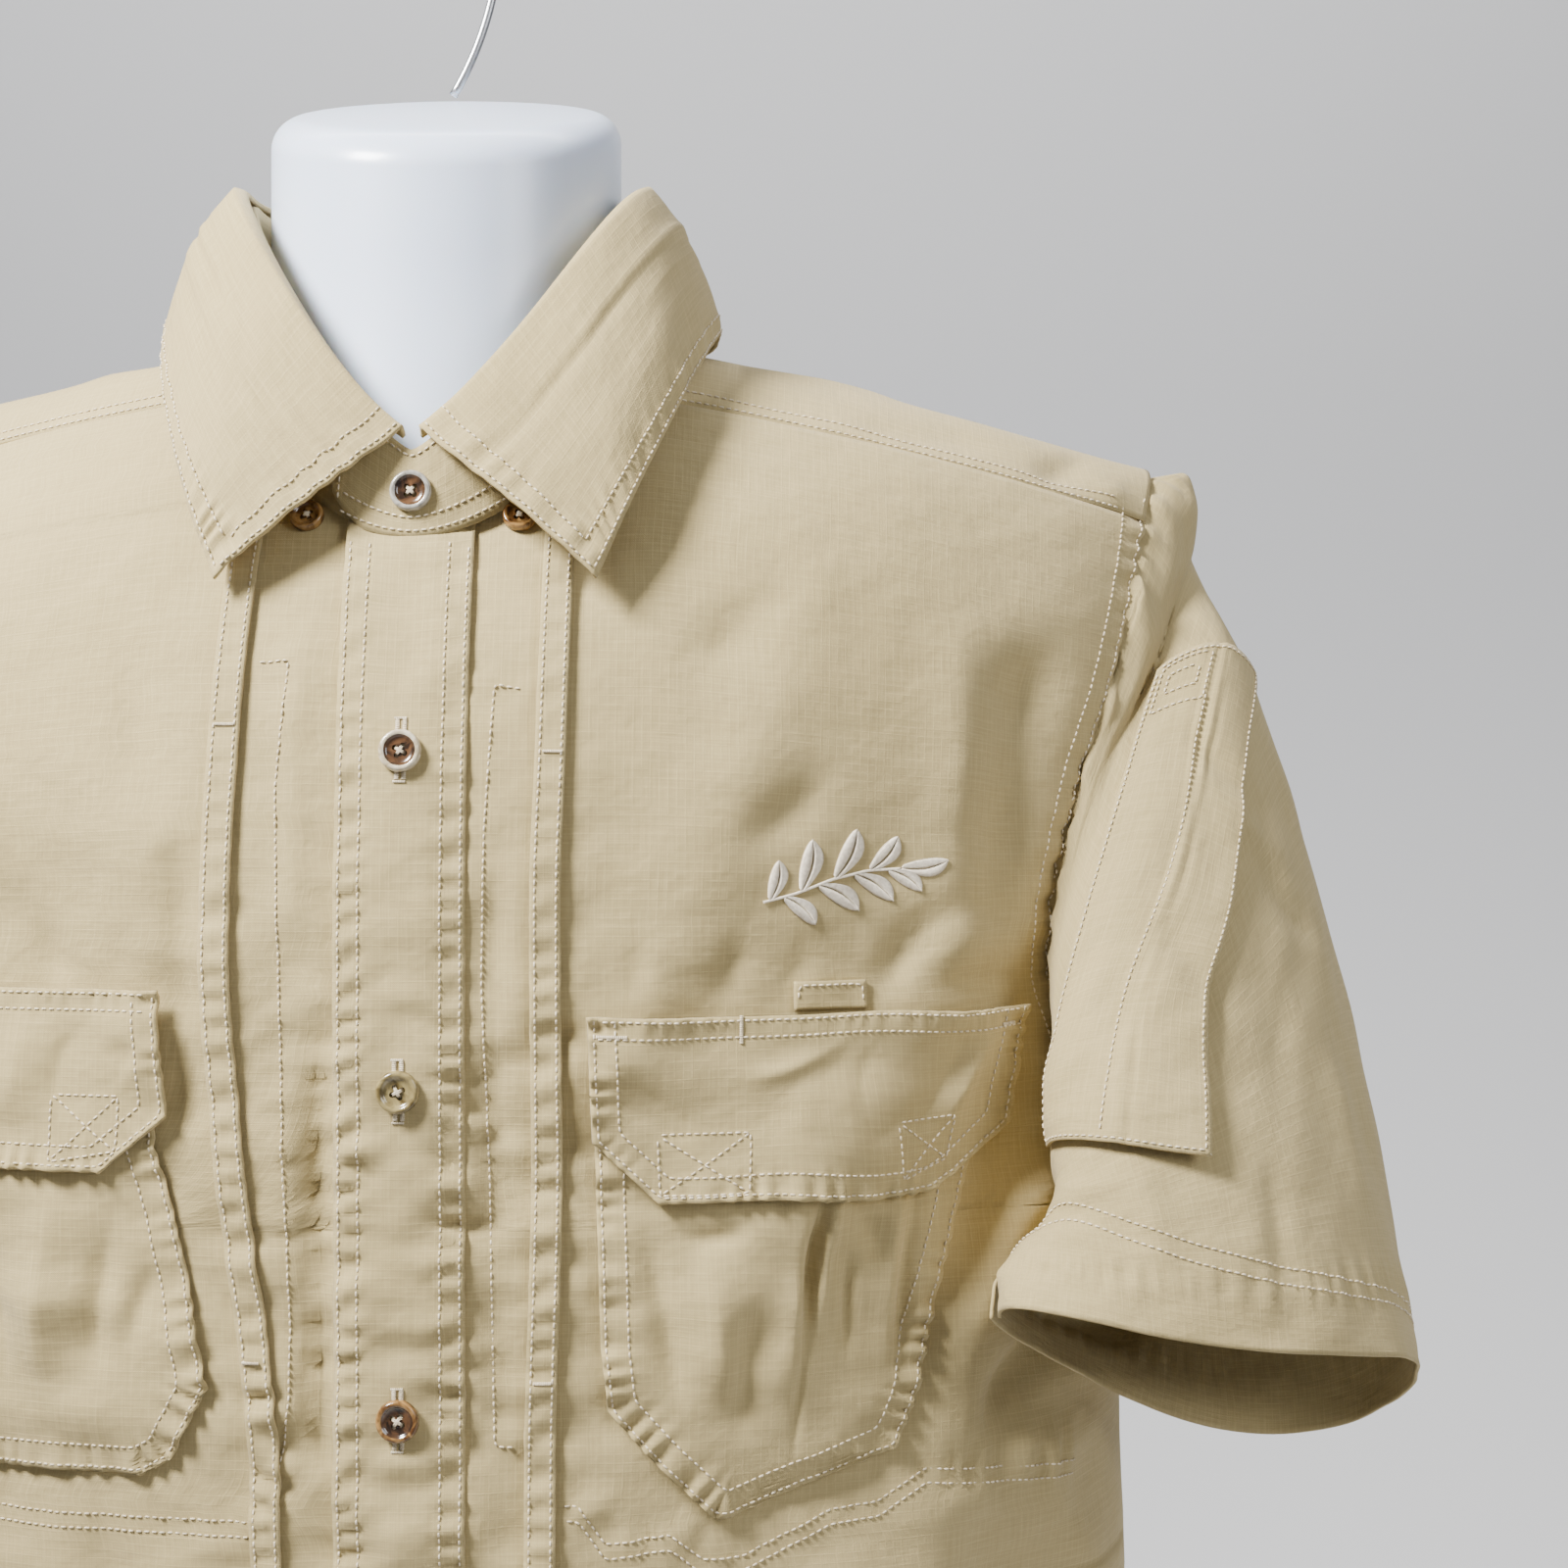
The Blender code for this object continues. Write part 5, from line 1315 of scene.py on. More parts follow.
# Pocket flaps: two layers turned out and edge-stitched twice, with chamfered corners,
# closed underneath by two hook-and-loop squares whose stitching shows through.
FLAP_GAP = 0.0014
FLAP_PUCKERS = (0.0066, 0.0060, 0.0009)
FLAP_TOP_PUCKERS = (0.0058, 0.0050, 0.0005)
FLAP_ROLL = 0.0005
FLAP_ROLL_REACH = 0.0012
FLAP_LEFT = (
    # height, inner x, outer x
    (0.5280, 0.0740, 0.1520),
    (0.5320, 0.0700, 0.1600),
    (0.5460, 0.0556, 0.1775),
    (0.5600, 0.0552, 0.1800),
    (0.5820, 0.0549, 0.1848),
)
FLAP_RIGHT = (
    # height, inner x, outer x
    (0.5370, -0.1600, -0.0860),
    (0.5400, -0.1650, -0.0830),
    (0.5530, -0.1760, -0.0680),
    (0.5700, -0.1790, -0.0690),
    (0.5900, -0.1810, -0.0700),
)
FLAP_LEFT_CREASES = (
    # from x, from z, to x, to z, half width, height, sideways bow
    (0.0980, 0.5640, 0.1290, 0.5740, 0.0034, 0.0014, 0.002),
    (0.1630, 0.5760, 0.1440, 0.5480, 0.0058, -0.0030, 0.002),
    (0.1720, 0.5740, 0.1570, 0.5480, 0.0042, 0.0016, 0.001),
    (0.1390, 0.5760, 0.1350, 0.5400, 0.0060, -0.0016, 0.001),
    (0.1180, 0.5680, 0.1160, 0.5420, 0.0080, 0.0010, 0.001),
    (0.0650, 0.5620, 0.0860, 0.5470, 0.0042, -0.0012, 0.001),
    (0.0600, 0.5760, 0.0640, 0.5660, 0.0030, 0.0008, 0.0),
)
FLAP_RIGHT_CREASES = (
    # from x, from z, to x, to z, half width, height, sideways bow
    (-0.0900, 0.5800, -0.1000, 0.5500, 0.0060, -0.0016, 0.002),
    (-0.1100, 0.5820, -0.1120, 0.5520, 0.0070, 0.0014, 0.001),
    (-0.0760, 0.5740, -0.0880, 0.5620, 0.0040, -0.0012, 0.001),
    (-0.1400, 0.5800, -0.1450, 0.5520, 0.0070, -0.0016, 0.001),
)
TAB_LIFT = 0.0014
TAB_LEFT = (
    # height, inner x, outer x
    (0.5830, 0.1140, 0.1355),
    (0.5915, 0.1140, 0.1355),
)


def flap_laid(table, under, creases, x, z, lift=0.0):
    """Points on a flap that lies on its pocket, with a rolled edge and puckered seams."""
    relief = crease_height(creases, x, z) + 0.0007 * swells(x, z, 0.013, 80)
    relief = relief + puckers(outline_of(table), x, z, *FLAP_PUCKERS)
    top = ((table[-1][1], table[-1][0]), (table[-1][2], table[-1][0]))
    relief = relief + puckers(top, x, z, *FLAP_TOP_PUCKERS)
    from_edge = near_line(outline_of(table), x, z)[0]
    roll = FLAP_ROLL * np.exp(-((from_edge / FLAP_ROLL_REACH) ** 2))
    relief = np.maximum(relief, -FLAP_GAP * 0.8) + roll
    return laid(x, z, pocket_lift(under, x, z) + FLAP_GAP + WALL + relief + lift)


for name, node, table, under, creases in (
        ("left_flap", "flap_left", FLAP_LEFT, POCKET_LEFT, FLAP_LEFT_CREASES),
        ("right_flap", "flap_right", FLAP_RIGHT, POCKET_RIGHT, FLAP_RIGHT_CREASES)):
    grid, grain = patch_grid(
        table, lambda x, z, t=table, u=under, c=creases: flap_laid(t, u, c, x, z), 50, 110)
    cloth_piece(name, grid, grain, node,
                thick=0.0014)


def tab_laid(x, z, lift=0.0):
    """Points on the small tab sewn above the left flap."""
    return laid(x, z, TAB_LIFT + 0.0002 * swells(x, z, 0.006, 90) + lift)


tab_grid, tab_grain = patch_grid(TAB_LEFT, tab_laid, 9, 20)
cloth_piece("pen_slot_tab", tab_grid, tab_grain, "tab_left",
            thick=0.0010)

# Collar stand: a doubled band sewn to the neckline, buttoned at the throat. Its rounded
# left end lies over its right end.
ROLL_FRONT_Z = 0.752
ROLL_SIDE_Z = 0.842
ROLL_BACK_Z = 0.846
ROLL_HALF_WIDTH = 0.0625
ROLL_FRONT_Y = -0.1075
ROLL_BACK_Y = 0.0415
STAND_TAB_TURN = -20.0
STAND_END_TURN = 14.0
COLLAR_WALL = 0.0018
COLLAR_CLOTH = 0.0016
STAND_BELOW_ROLL = 0.0022


def neckline_point(turn):
    """Points of the neckline seam, turn in degrees from the front."""
    angle = np.radians(turn)
    x = NECK_HALF * np.sin(angle)
    y = NECKLINE_MIDDLE_Y - NECKLINE_HALF_DEPTH * np.cos(angle)
    way = halved(np.where(y < 0.0, 0.0, math.pi), np.full(x.shape, math.pi / 2),
                 lambda way: np.abs(trunk_point(turn_at(x, way), way)[..., 1]) < np.abs(y))
    return trunk_point(turn_at(x, way), way)


def roll_point(turn):
    """Points of the collar's roll line, turn in degrees from the front."""
    angle = np.radians(turn)
    side, ahead = np.abs(np.sin(angle)), np.cos(angle)
    y = np.where(ahead >= 0.0, NECKLINE_MIDDLE_Y + (ROLL_FRONT_Y - NECKLINE_MIDDLE_Y) * ahead,
                 NECKLINE_MIDDLE_Y - (ROLL_BACK_Y - NECKLINE_MIDDLE_Y) * ahead)
    z = np.where(ahead >= 0.0, ROLL_FRONT_Z + (ROLL_SIDE_Z - ROLL_FRONT_Z) * side ** 1.3,
                 ROLL_BACK_Z - (ROLL_BACK_Z - ROLL_SIDE_Z) * side ** 2)
    return np.stack([ROLL_HALF_WIDTH * np.sin(angle), y, z], axis=-1)


def collar_out(turn, rise):
    """Outward from the neck at a turn, tipped up by rise."""
    angle = np.radians(turn)
    return np.stack([np.sin(angle), -np.cos(angle), np.full(np.shape(turn), rise)], axis=-1)


def stand_laid(turn, share, lift=0.0):
    """Points on the stand's outer face between the neckline seam (0) and the roll line (1)."""
    turn, share = paired(turn, share)
    out = unit(collar_out(turn, 0.12))
    base = neckline_point(turn) - np.array([0.0, 0.0, 0.0010]) + out * 0.0010
    top = roll_point(turn) - np.array([0.0, 0.0, STAND_BELOW_ROLL])
    over = (COLLAR_WALL + 2.0 * LAY_GAP) * (1.0 - ease(STAND_END_TURN + 2.0, STAND_END_TURN + 22.0, turn))
    soft = 0.0004 * swells(turn * 0.0012, share * 0.03, 0.012, 95)
    return base + (top - base) * share[..., None] + out * (over + soft + lift)[..., None], out


stand_turns = np.linspace(STAND_TAB_TURN, 360.0 + STAND_END_TURN, 300)[None, :]
stand_shares = np.linspace(0.0, 1.0, 16)[:, None]
from_tip = np.clip((stand_turns - STAND_TAB_TURN) / 9.0, 0.0, 1.0)
rounded_shares = 0.5 + (stand_shares - 0.5) * (0.45 + 0.55 * np.sqrt(from_tip))
stand_grid, _ = stand_laid(stand_turns, rounded_shares)
stand_grain = grid_grain(stand_turns * 0.00125, stand_shares * 0.034)
cloth_piece("neck_stand", stand_grid, stand_grain, "collar_stand",
            thick=COLLAR_CLOTH)

# Collar: a pointed leaf of two layers with a soft interlining, folded down over the
# stand along its roll line, double edge-stitched, with hidden buttons under its points.
LEAF_EDGE = (
    # turn from the front, x, y, z
    (2.0, 0.0565, -0.1235, 0.7100),
    (35.0, 0.0680, -0.1120, 0.7400),
    (62.0, 0.0810, -0.0820, 0.7740),
    (90.0, 0.0890, -0.0350, 0.7975),
    (118.0, 0.0830, 0.0150, 0.7990),
    (148.0, 0.0520, 0.0570, 0.7960),
    (180.0, 0.0000, 0.0690, 0.7950),
)
LEAF_DEPTH = 0.062
LEAF_CREST = 0.12
LEAF_FIRST_TURN = 2.0


def leaf_base(turn, share, lift):
    """Points of the fallen collar: over the roll line, then down to the outer edge."""
    around = np.where(turn <= 180.0, turn, 360.0 - turn)
    side = np.where(turn <= 180.0, 1.0, -1.0)
    edge = np.stack([smooth_table(LEAF_EDGE, around, column) for column in (1, 2, 3)], axis=-1)
    edge[..., 0] *= side
    roll = roll_point(turn)
    out = collar_out(turn, 0.0)
    rise = np.array([0.0, 0.0, 1.0])
    crown = roll + out * 0.0032 + rise * 0.0010
    start = roll + out * 0.0004
    rolled = start + (crown - start) * np.minimum(share / LEAF_CREST, 1.0)[..., None]
    fallen = np.maximum((share - LEAF_CREST) / (1.0 - LEAF_CREST), 0.0)[..., None]
    point = rolled + (edge - crown) * fallen
    bow = 0.0050 * np.abs(np.sin(math.pi * share)) ** 0.8
    lean = ease(0.0, 0.25, share)[..., None]
    normal = unit(out * (0.35 + 0.65 * lean) + rise * (1.0 - 0.55 * lean))
    return point + normal * (bow + lift)[..., None], normal


def row_ripple(beat, drift, drift_beat, to_edge):
    """Fine gathers between two rows of stitches that run along an edge."""
    near = np.exp(-(((to_edge - 0.0045) / 0.004) ** 2))
    return 0.00060 * np.sin(beat + drift * np.sin(beat * drift_beat)) * near


def leaf_laid(turn, share, lift=0.0):
    """Points on the collar's outer face from the roll line (0) to its outer edge (1)."""
    turn, share = paired(turn, share)
    around = np.where(turn <= 180.0, turn, 360.0 - turn)
    side = np.where(turn <= 180.0, 1.0, 2.0)
    relief = row_ripple(around * 0.0016 * 760.0 + side, 1.6, 0.31, (1.0 - share) * LEAF_DEPTH)
    relief = relief + row_ripple(share * LEAF_DEPTH * 760.0 + side, 1.5, 0.27,
                                 (around - LEAF_FIRST_TURN) * 0.0011)
    relief = relief + 0.0010 * swells(turn * 0.0013, share * 0.06, 0.022, 101)
    middle = np.exp(-(((share - 0.45) / 0.16) ** 2))
    relief = relief + 0.0010 * middle * swells(turn * 0.0013, share, 0.05, 102)
    return leaf_base(turn, share, COLLAR_WALL + relief * ease(0.0, 0.2, share) + lift)


# columns and rows stand closer at the points and over the roll line
half_turns = np.concatenate([np.linspace(LEAF_FIRST_TURN, 24.0, 40)[:-1], np.linspace(24.0, 180.0, 110)])
leaf_turns = np.concatenate([half_turns, 360.0 - half_turns[::-1][1:]])
leaf_shares = np.concatenate([np.linspace(0.0, 0.16, 9)[:-1], np.linspace(0.16, 1.0, 40)])[:, None]
leaf_grid, _ = leaf_laid(leaf_turns, leaf_shares)
leaf_grain = grid_grain(leaf_turns * 0.00135, leaf_shares * LEAF_DEPTH)
cloth_piece("collar", leaf_grid, leaf_grain, "collar_leaf",
            thick=COLLAR_CLOTH, flip=True)

# Buttons: 20-ligne resin shirt buttons in mottled horn colours, each with a raised rim,
# a dished middle and four holes, sewn on with a cross of cream thread.
BUTTON_RADIUS = 0.00635
BUTTON_THICK = 0.0030
TIP_BUTTON_RADIUS = 0.0053
BUTTON_PROFILE = (
    # share of the radius, share of the thickness
    (0.90, 0.00), (0.975, 0.12), (1.00, 0.36), (0.985, 0.66), (0.94, 0.90),
    (0.88, 0.99), (0.80, 1.00), (0.73, 0.93), (0.66, 0.74), (0.58, 0.62), (0.40, 0.58),
)
HOLE_SPREAD = 0.26
HOLE_RADIUS = 0.00085
HOLE_SIDES = 12
DISH_SHARE = 0.70
HORN_TONES = {
    # dark mottling, pale mottling
    "dark_horn": ((0.020, 0.010, 0.005), (0.110, 0.052, 0.022)),
    "amber_horn": ((0.075, 0.030, 0.008), (0.360, 0.200, 0.065)),
    "olive_horn": ((0.090, 0.062, 0.020), (0.300, 0.235, 0.100)),
    "cream_horn": ((0.360, 0.290, 0.180), (0.640, 0.570, 0.430)),
    # greys for the stand button's rim: painted shade from the collar above it
    "shaded_grey_horn": ((0.200, 0.185, 0.160), (0.400, 0.380, 0.340)),
}
BUTTON_LOOKS = (
    # node, rim, middle
    # this button's grey rim is painted shade from the collar
    ("button_stand", "shaded_grey_horn", "dark_horn"),
    ("button_1", "cream_horn", "dark_horn"),
    ("button_2", "olive_horn", "olive_horn"),
    ("button_3", "amber_horn", "dark_horn"),
    ("button_4", "cream_horn", "dark_horn"),
    ("button_5", "amber_horn", "olive_horn"),
    ("button_6", "olive_horn", "dark_horn"),
    ("button_tip_left", "amber_horn", "amber_horn"),
    ("button_tip_right", "amber_horn", "amber_horn"),
)


def horn(name, dark, pale):
    """Polished resin with cloudy mottling."""
    made = plain_finish(name, pale, 0.20, (("Coat Weight", 0.6), ("Coat Roughness", 0.06)))
    tint(made, speckle(made, 190.0, 3.0, 1.4), ((0.40, dark), (0.62, pale)))
    return made


def level_ring(x, y, radius, height, sides):
    """A level ring of points round a middle."""
    angles = np.linspace(0.0, 2.0 * math.pi, sides, endpoint=False)
    return np.stack([x + radius * np.cos(angles), y + radius * np.sin(angles),
                     np.full(sides, height)], axis=-1)


def button_blank(radius, sides=32):
    """Points and faces of one button with its holes cut, standing on its back."""
    rings = [level_ring(0.0, 0.0, radius * reach, BUTTON_THICK * height, sides)
             for reach, height in BUTTON_PROFILE]
    blank = mesh_piece("button_blank", np.concatenate(rings), capped_rings(rings), horns["dark_horn"])
    pegs, peg_faces = [], []
    for quarter in range(4):
        turn = math.pi / 4 + quarter * math.pi / 2
        x, y = np.array([math.cos(turn), math.sin(turn)]) * radius * HOLE_SPREAD
        peg = [level_ring(x, y, HOLE_RADIUS, height, HOLE_SIDES)
               for height in (-0.001, BUTTON_THICK + 0.001)]
        peg_faces += capped_rings(peg, start=quarter * 2 * HOLE_SIDES)
        pegs += peg
    cutter = mesh_piece("button_pegs", np.concatenate(pegs), peg_faces, horns["dark_horn"])
    made = combined(blank, cutter, "DIFFERENCE")
    points = np.array([tuple(v.co) for v in made.vertices])
    outline = [tuple(face.vertices) for face in made.polygons]
    bpy.data.objects.remove(blank)
    return points, outline


def button_place(node):
    """Middle of a button's back and the way it faces, from the cloth it is sewn to."""
    low, high = (np.array(corner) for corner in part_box(node))
    middle = (low + high) / 2.0
    if node == "button_stand":
        along = stand_laid(4.0, 0.45)[0] - stand_laid(-4.0, 0.45)[0]
        up = stand_laid(0.0, 0.7)[0] - stand_laid(0.0, 0.2)[0]
        out = np.cross(along, up)
    else:
        x, z = np.array(middle[0]), np.array(middle[2])
        out = trunk_normal(turn_at(x, way_at(x, z)), way_at(x, z))
    out = unit(out)
    return middle - out * BUTTON_THICK / 2.0, out


horns = {name: horn(name, *tones) for name, tones in HORN_TONES.items()}
blanks = {radius: button_blank(radius) for radius in (BUTTON_RADIUS, TIP_BUTTON_RADIUS)}
button_frames = {}
for number, (node, rim, middle) in enumerate(BUTTON_LOOKS):
    radius = TIP_BUTTON_RADIUS if "tip" in node else BUTTON_RADIUS
    points, outline = blanks[radius]
    back, out = button_place(node)
    spin = 0.35 * math.sin(number * 2.3)
    side = unit(np.cross(out, (0.0, 0.0, 1.0)))
    rise = np.cross(out, side)
    across = side * math.cos(spin) + rise * math.sin(spin)
    other = np.cross(out, across)
    placed = back + points[:, :1] * across + points[:, 1:2] * other + points[:, 2:] * out
    button = mesh_piece(node + "_horn", placed, outline, horns[rim])
    button.data.materials.append(horns[middle])
    for face in button.data.polygons:
        reach = np.mean([np.hypot(points[v, 0], points[v, 1]) for v in face.vertices])
        face.material_index = int(reach < radius * DISH_SHARE)
    button.data.set_sharp_from_angle(angle=math.radians(50.0))
    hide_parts(node)
    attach(button, "root")
    button_frames[node] = (back, out, across, other, radius)

# Sewing: cream lock-stitching in double rows along every edge and seam, with bartacks at
# the openings, worked buttonholes down the placket and crosses through the buttons.
STITCH_PITCH = 0.0024
STITCH_RADIUS = 0.00031
STITCH_SHARE = 0.80
THREAD_SIDES = 5
NEAR_ROW = 0.0015
FAR_ROW = 0.0072
ROW_LIFT = 0.0001
TACK_LIFT = 0.0002


def sewing_thread(name, dark, pale, roughness):
    """Twisted thread, with painted shade for its furrows as darker mottling."""
    made = plain_finish(name, pale, roughness, (("Sheen Weight", 0.15),))
    # the dark stop is painted shade standing in for the twist's furrows
    tint(made, speckle(made, 900.0), ((0.35, dark), (0.65, pale)))
    return made


cream_thread = sewing_thread("cream_thread", (0.56, 0.47, 0.32), (0.80, 0.70, 0.52), 0.60)


def strands(name, starts, ends, outs, radius, material):
    """Short rounded threads from each start to each end, standing a little proud of the cloth."""
    starts, ends, outs = (np.asarray(a, float) for a in (starts, ends, outs))
    run = ends - starts
    along = unit(run)
    outs = unit(outs - along * np.sum(outs * along, axis=-1, keepdims=True))
    side = np.cross(outs, along)
    rounds = np.linspace(0.0, 2.0 * math.pi, THREAD_SIDES, endpoint=False)
    pieces = [starts - outs * radius * 0.4]
    for share in (0.22, 0.78):
        middle = starts + run * share + outs * radius * 0.45
        pieces += [middle + radius * (math.cos(a) * outs + math.sin(a) * side) for a in rounds]
    pieces.append(ends - outs * radius * 0.4)
    points = np.stack(pieces, axis=1).reshape(-1, 3)
    size = len(pieces)
    pattern = []
    for i in range(THREAD_SIDES):
        j = (i + 1) % THREAD_SIDES
        near, far = (1 + i, 1 + j), (1 + THREAD_SIDES + i, 1 + THREAD_SIDES + j)
        pattern += [(0, *near), (near[0], *far, near[1]), (far[0], size - 1, far[1])]
    firsts = range(0, size * len(starts), size)
    faces = [tuple(first + i for i in face) for first in firsts for face in pattern]
    piece = mesh_piece(name, points, faces, material)
    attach(piece, "root")
    return piece


def values_at(spots, walked, values):
    """Rows of values read at spots between the places walked to."""
    return np.stack([np.interp(spots, walked, column) for column in values.T], axis=-1)


def stitched(name, rows):
    """Rows of stitches, each row a run of points on the cloth with the ways out there."""
    starts, ends, outs = [], [], []
    for number, (points, normals) in enumerate(rows):
        walked = metres_along(points)
        first = (0.2 + 0.3 * (number % 3)) * STITCH_PITCH
        begin = np.arange(first, walked[-1] - STITCH_PITCH, STITCH_PITCH)
        starts.append(values_at(begin, walked, points))
        ends.append(values_at(begin + STITCH_PITCH * STITCH_SHARE, walked, points))
        outs.append(values_at(begin, walked, normals))
    strands(name, np.concatenate(starts), np.concatenate(ends), np.concatenate(outs),
            STITCH_RADIUS, cream_thread)


def dense(line, step=0.0016):
    """Points every few millimetres along a line of corners."""
    line = np.asarray(line, float)
    walked = metres_along(line)
    spots = np.linspace(0.0, walked[-1], max(3, int(walked[-1] / step)))
    return values_at(spots, walked, line)


def inset(line, distance):
    """An open line of corners moved over to its left, with its corners kept sharp."""
    line = np.asarray(line, float)
    runs = unit(np.diff(line, axis=0))
    lefts = np.stack([-runs[:, 1], runs[:, 0]], axis=-1)
    moved = [line[0] + lefts[0] * distance]
    for before, after, corner in zip(lefts, lefts[1:], line[1:-1]):
        middle = before + after
        moved.append(corner + middle * distance * 2.0 / np.dot(middle, middle))
    moved.append(line[-1] + lefts[-1] * distance)
    return np.array(moved)


def row_on(surface, line):
    """A row of stitches' spots on a surface, along a line of corners."""
    spots = dense(line)
    return surface(spots[:, 0], spots[:, 1])


def mirrored(row):
    """The same row on the garment's other side."""
    return row[0] * (-1.0, 1.0, 1.0), row[1] * (-1.0, 1.0, 1.0)


def on_front(x, z):
    return laid(x, z, ROW_LIFT)


placket_rows = [row_on(placket_laid, ((side * (PLACKET_HALF - reach), PLACKET_TOP - 0.004),
                                      (side * (PLACKET_HALF - reach), HEM_Z + 0.003)))
                for side in (-1, 1) for reach in (NEAR_ROW, FAR_ROW)]
stitched("placket_stitches", placket_rows)

welt_rows = []
for table in (WELT_LEFT, WELT_RIGHT):
    heights = np.arange(HEM_Z + 0.003, WELT_TOP - 0.002, 0.0020)
    for shift in (-0.0031, 0.0031):
        welt_rows.append(welt_laid(table, smooth_table(table, heights, 1) + shift, heights))
welt_rows += [row_on(on_front, line) for line in BAG_LINES]
stitched("welt_stitches", welt_rows)

pocket_rows = []
for line in LOWER_LINES:
    pocket_rows.append(row_on(on_front, line))
    pocket_rows.append(row_on(on_front, np.array(line) - (0.0, 0.0043)))
for table, creases in ((POCKET_LEFT, POCKET_LEFT_CREASES), (POCKET_RIGHT, POCKET_RIGHT_CREASES)):
    for reach in (NEAR_ROW, FAR_ROW + 0.0008):
        pocket_rows.append(row_on(lambda x, z, t=table, c=creases: pocket_laid(t, c, x, z),
                                  inset(outline_of(table), reach)))
stitched("pocket_stitches", pocket_rows)

PATCHES_LEFT = (
    ((0.0735, 0.5480), (0.1003, 0.5480), (0.1003, 0.5300), (0.0745, 0.5302)),
    ((0.1405, 0.5500), (0.1592, 0.5508), (0.1572, 0.5372), (0.1420, 0.5325)),
)
PATCHES_RIGHT = (
    ((-0.1015, 0.5590), (-0.0815, 0.5590), (-0.0820, 0.5430), (-0.1015, 0.5395)),
    ((-0.1640, 0.5600), (-0.1440, 0.5600), (-0.1440, 0.5415), (-0.1620, 0.5440)),
)
flap_rows = []
for table, under, creases, patches in (
        (FLAP_LEFT, POCKET_LEFT, FLAP_LEFT_CREASES, PATCHES_LEFT),
        (FLAP_RIGHT, POCKET_RIGHT, FLAP_RIGHT_CREASES, PATCHES_RIGHT)):
    def on_flap(x, z, t=table, u=under, c=creases):
        return flap_laid(t, u, c, x, z)

    for reach in (NEAR_ROW, FAR_ROW):
        flap_rows.append(row_on(on_flap, inset(outline_of(table), reach)))
    top, low_x, high_x = table[-1]
    for drop in (0.0011, 0.0060):
        flap_rows.append(row_on(on_flap, ((low_x + 0.002, top - drop), (high_x - 0.002, top - drop))))
    for a, b, c, d in patches:
        for line in ((a, b, c, d, a), (a, c), (b, d)):
            flap_rows.append(row_on(on_flap, line))
low, high = TAB_LEFT[0][0], TAB_LEFT[-1][0]
inner, outer = TAB_LEFT[0][1] + 0.0012, TAB_LEFT[0][2] - 0.0012
flap_rows.append(row_on(tab_laid, ((inner, low + 0.0015), (inner, high - 0.0012), (outer, high - 0.0012),
                                   (outer, low + 0.0015))))
stitched("flap_stitches", flap_rows)


def yoke_row(way, from_x, to_x):
    """A row of stitches across the yoke at one way."""
    turns = turn_at(np.linspace(from_x, to_x, 120), way)
    base = trunk_point(turns, way)
    return raised(turns, way, yoke_relief(base[:, 0], base[:, 1], way) + ROW_LIFT)


def armhole_row(grow, from_degrees, to_degrees, behind):
    """A row beside the left armhole seam, on the front or the back."""
    seam = armhole_point(np.radians(np.linspace(from_degrees, to_degrees, 160)), grow)
    way = way_at(seam[:, 0], seam[:, 2], back=behind)
    relief = (back_relief if behind else front_relief)(seam[:, 0], seam[:, 2])
    return raised(turn_at(seam[:, 0], way), way, relief + ROW_LIFT)


def hem_row(z, behind):
    """A level row round the front or the back of the hem."""
    turns = np.linspace(-1.50, 1.50, 400)
    way = math.pi + CHEST_Z - z if behind else z - CHEST_Z
    base = trunk_point(turns, way)
    relief = (back_relief if behind else front_relief)(base[:, 0], base[:, 2])
    return raised(turns, way, relief + ROW_LIFT)


HEM_ROWS = (0.0025, 0.0190)
seam_rows = []
for reach in (NEAR_ROW, FAR_ROW - 0.0008):
    for side in (-1, 1):
        front_way = YOKE_FRONT_WAY + reach / RADIAN_LENGTH
        seam_rows.append(yoke_row(front_way, side * 0.066, side * 0.222))
    seam_rows.append(yoke_row(YOKE_BACK_WAY - reach / RADIAN_LENGTH, -0.205, 0.205))
    front_row = armhole_row(reach, 27.0, 168.0, behind=False)
    back_row = armhole_row(reach, 318.0, 192.0, behind=True)
    seam_rows += [front_row, mirrored(front_row), back_row, mirrored(back_row)]
for height in HEM_ROWS:
    seam_rows += [hem_row(HEM_Z + height, False), hem_row(HEM_Z + height, True)]
stitched("seam_stitches", seam_rows)

SLEEVE_HEM_ROWS = (0.0265, 0.0320)
sleeve_rows = []
full_turn = np.linspace(math.pi, 3.0 * math.pi, 500)
sleeve_length = np.linalg.norm(sleeve_base(1.0, full_turn) - sleeve_base(0.0, full_turn), axis=-1) * 1.03
for depth in SLEEVE_HEM_ROWS:
    share = 1.0 - depth / sleeve_length
    sleeve_rows.append(sleeve_laid(share, full_turn, ROW_LIFT, seed=1))
    sleeve_rows.append(mirrored(sleeve_laid(share, full_turn, ROW_LIFT, seed=2)))
PEN_LINES = (
    # corners down the pocket's length and across from its outer to its front edge
    ((0.010, 0.96), (0.010, 0.03), (0.985, 0.03), (0.985, 0.97), (0.010, 0.97)),
    ((0.10, 0.50), (0.985, 0.52)),
    ((0.020, 0.52), (0.115, 0.52), (0.115, 0.92), (0.020, 0.92), (0.020, 0.52)),
    ((0.045, 0.60), (0.085, 0.60), (0.085, 0.84), (0.045, 0.84), (0.045, 0.60)),
)
for line in PEN_LINES:
    spots = dense(line, 0.008)
    sleeve_rows.append(sleeve_pocket_laid(spots[:, 0], spots[:, 1], ROW_LIFT))
stitched("sleeve_stitches", sleeve_rows)

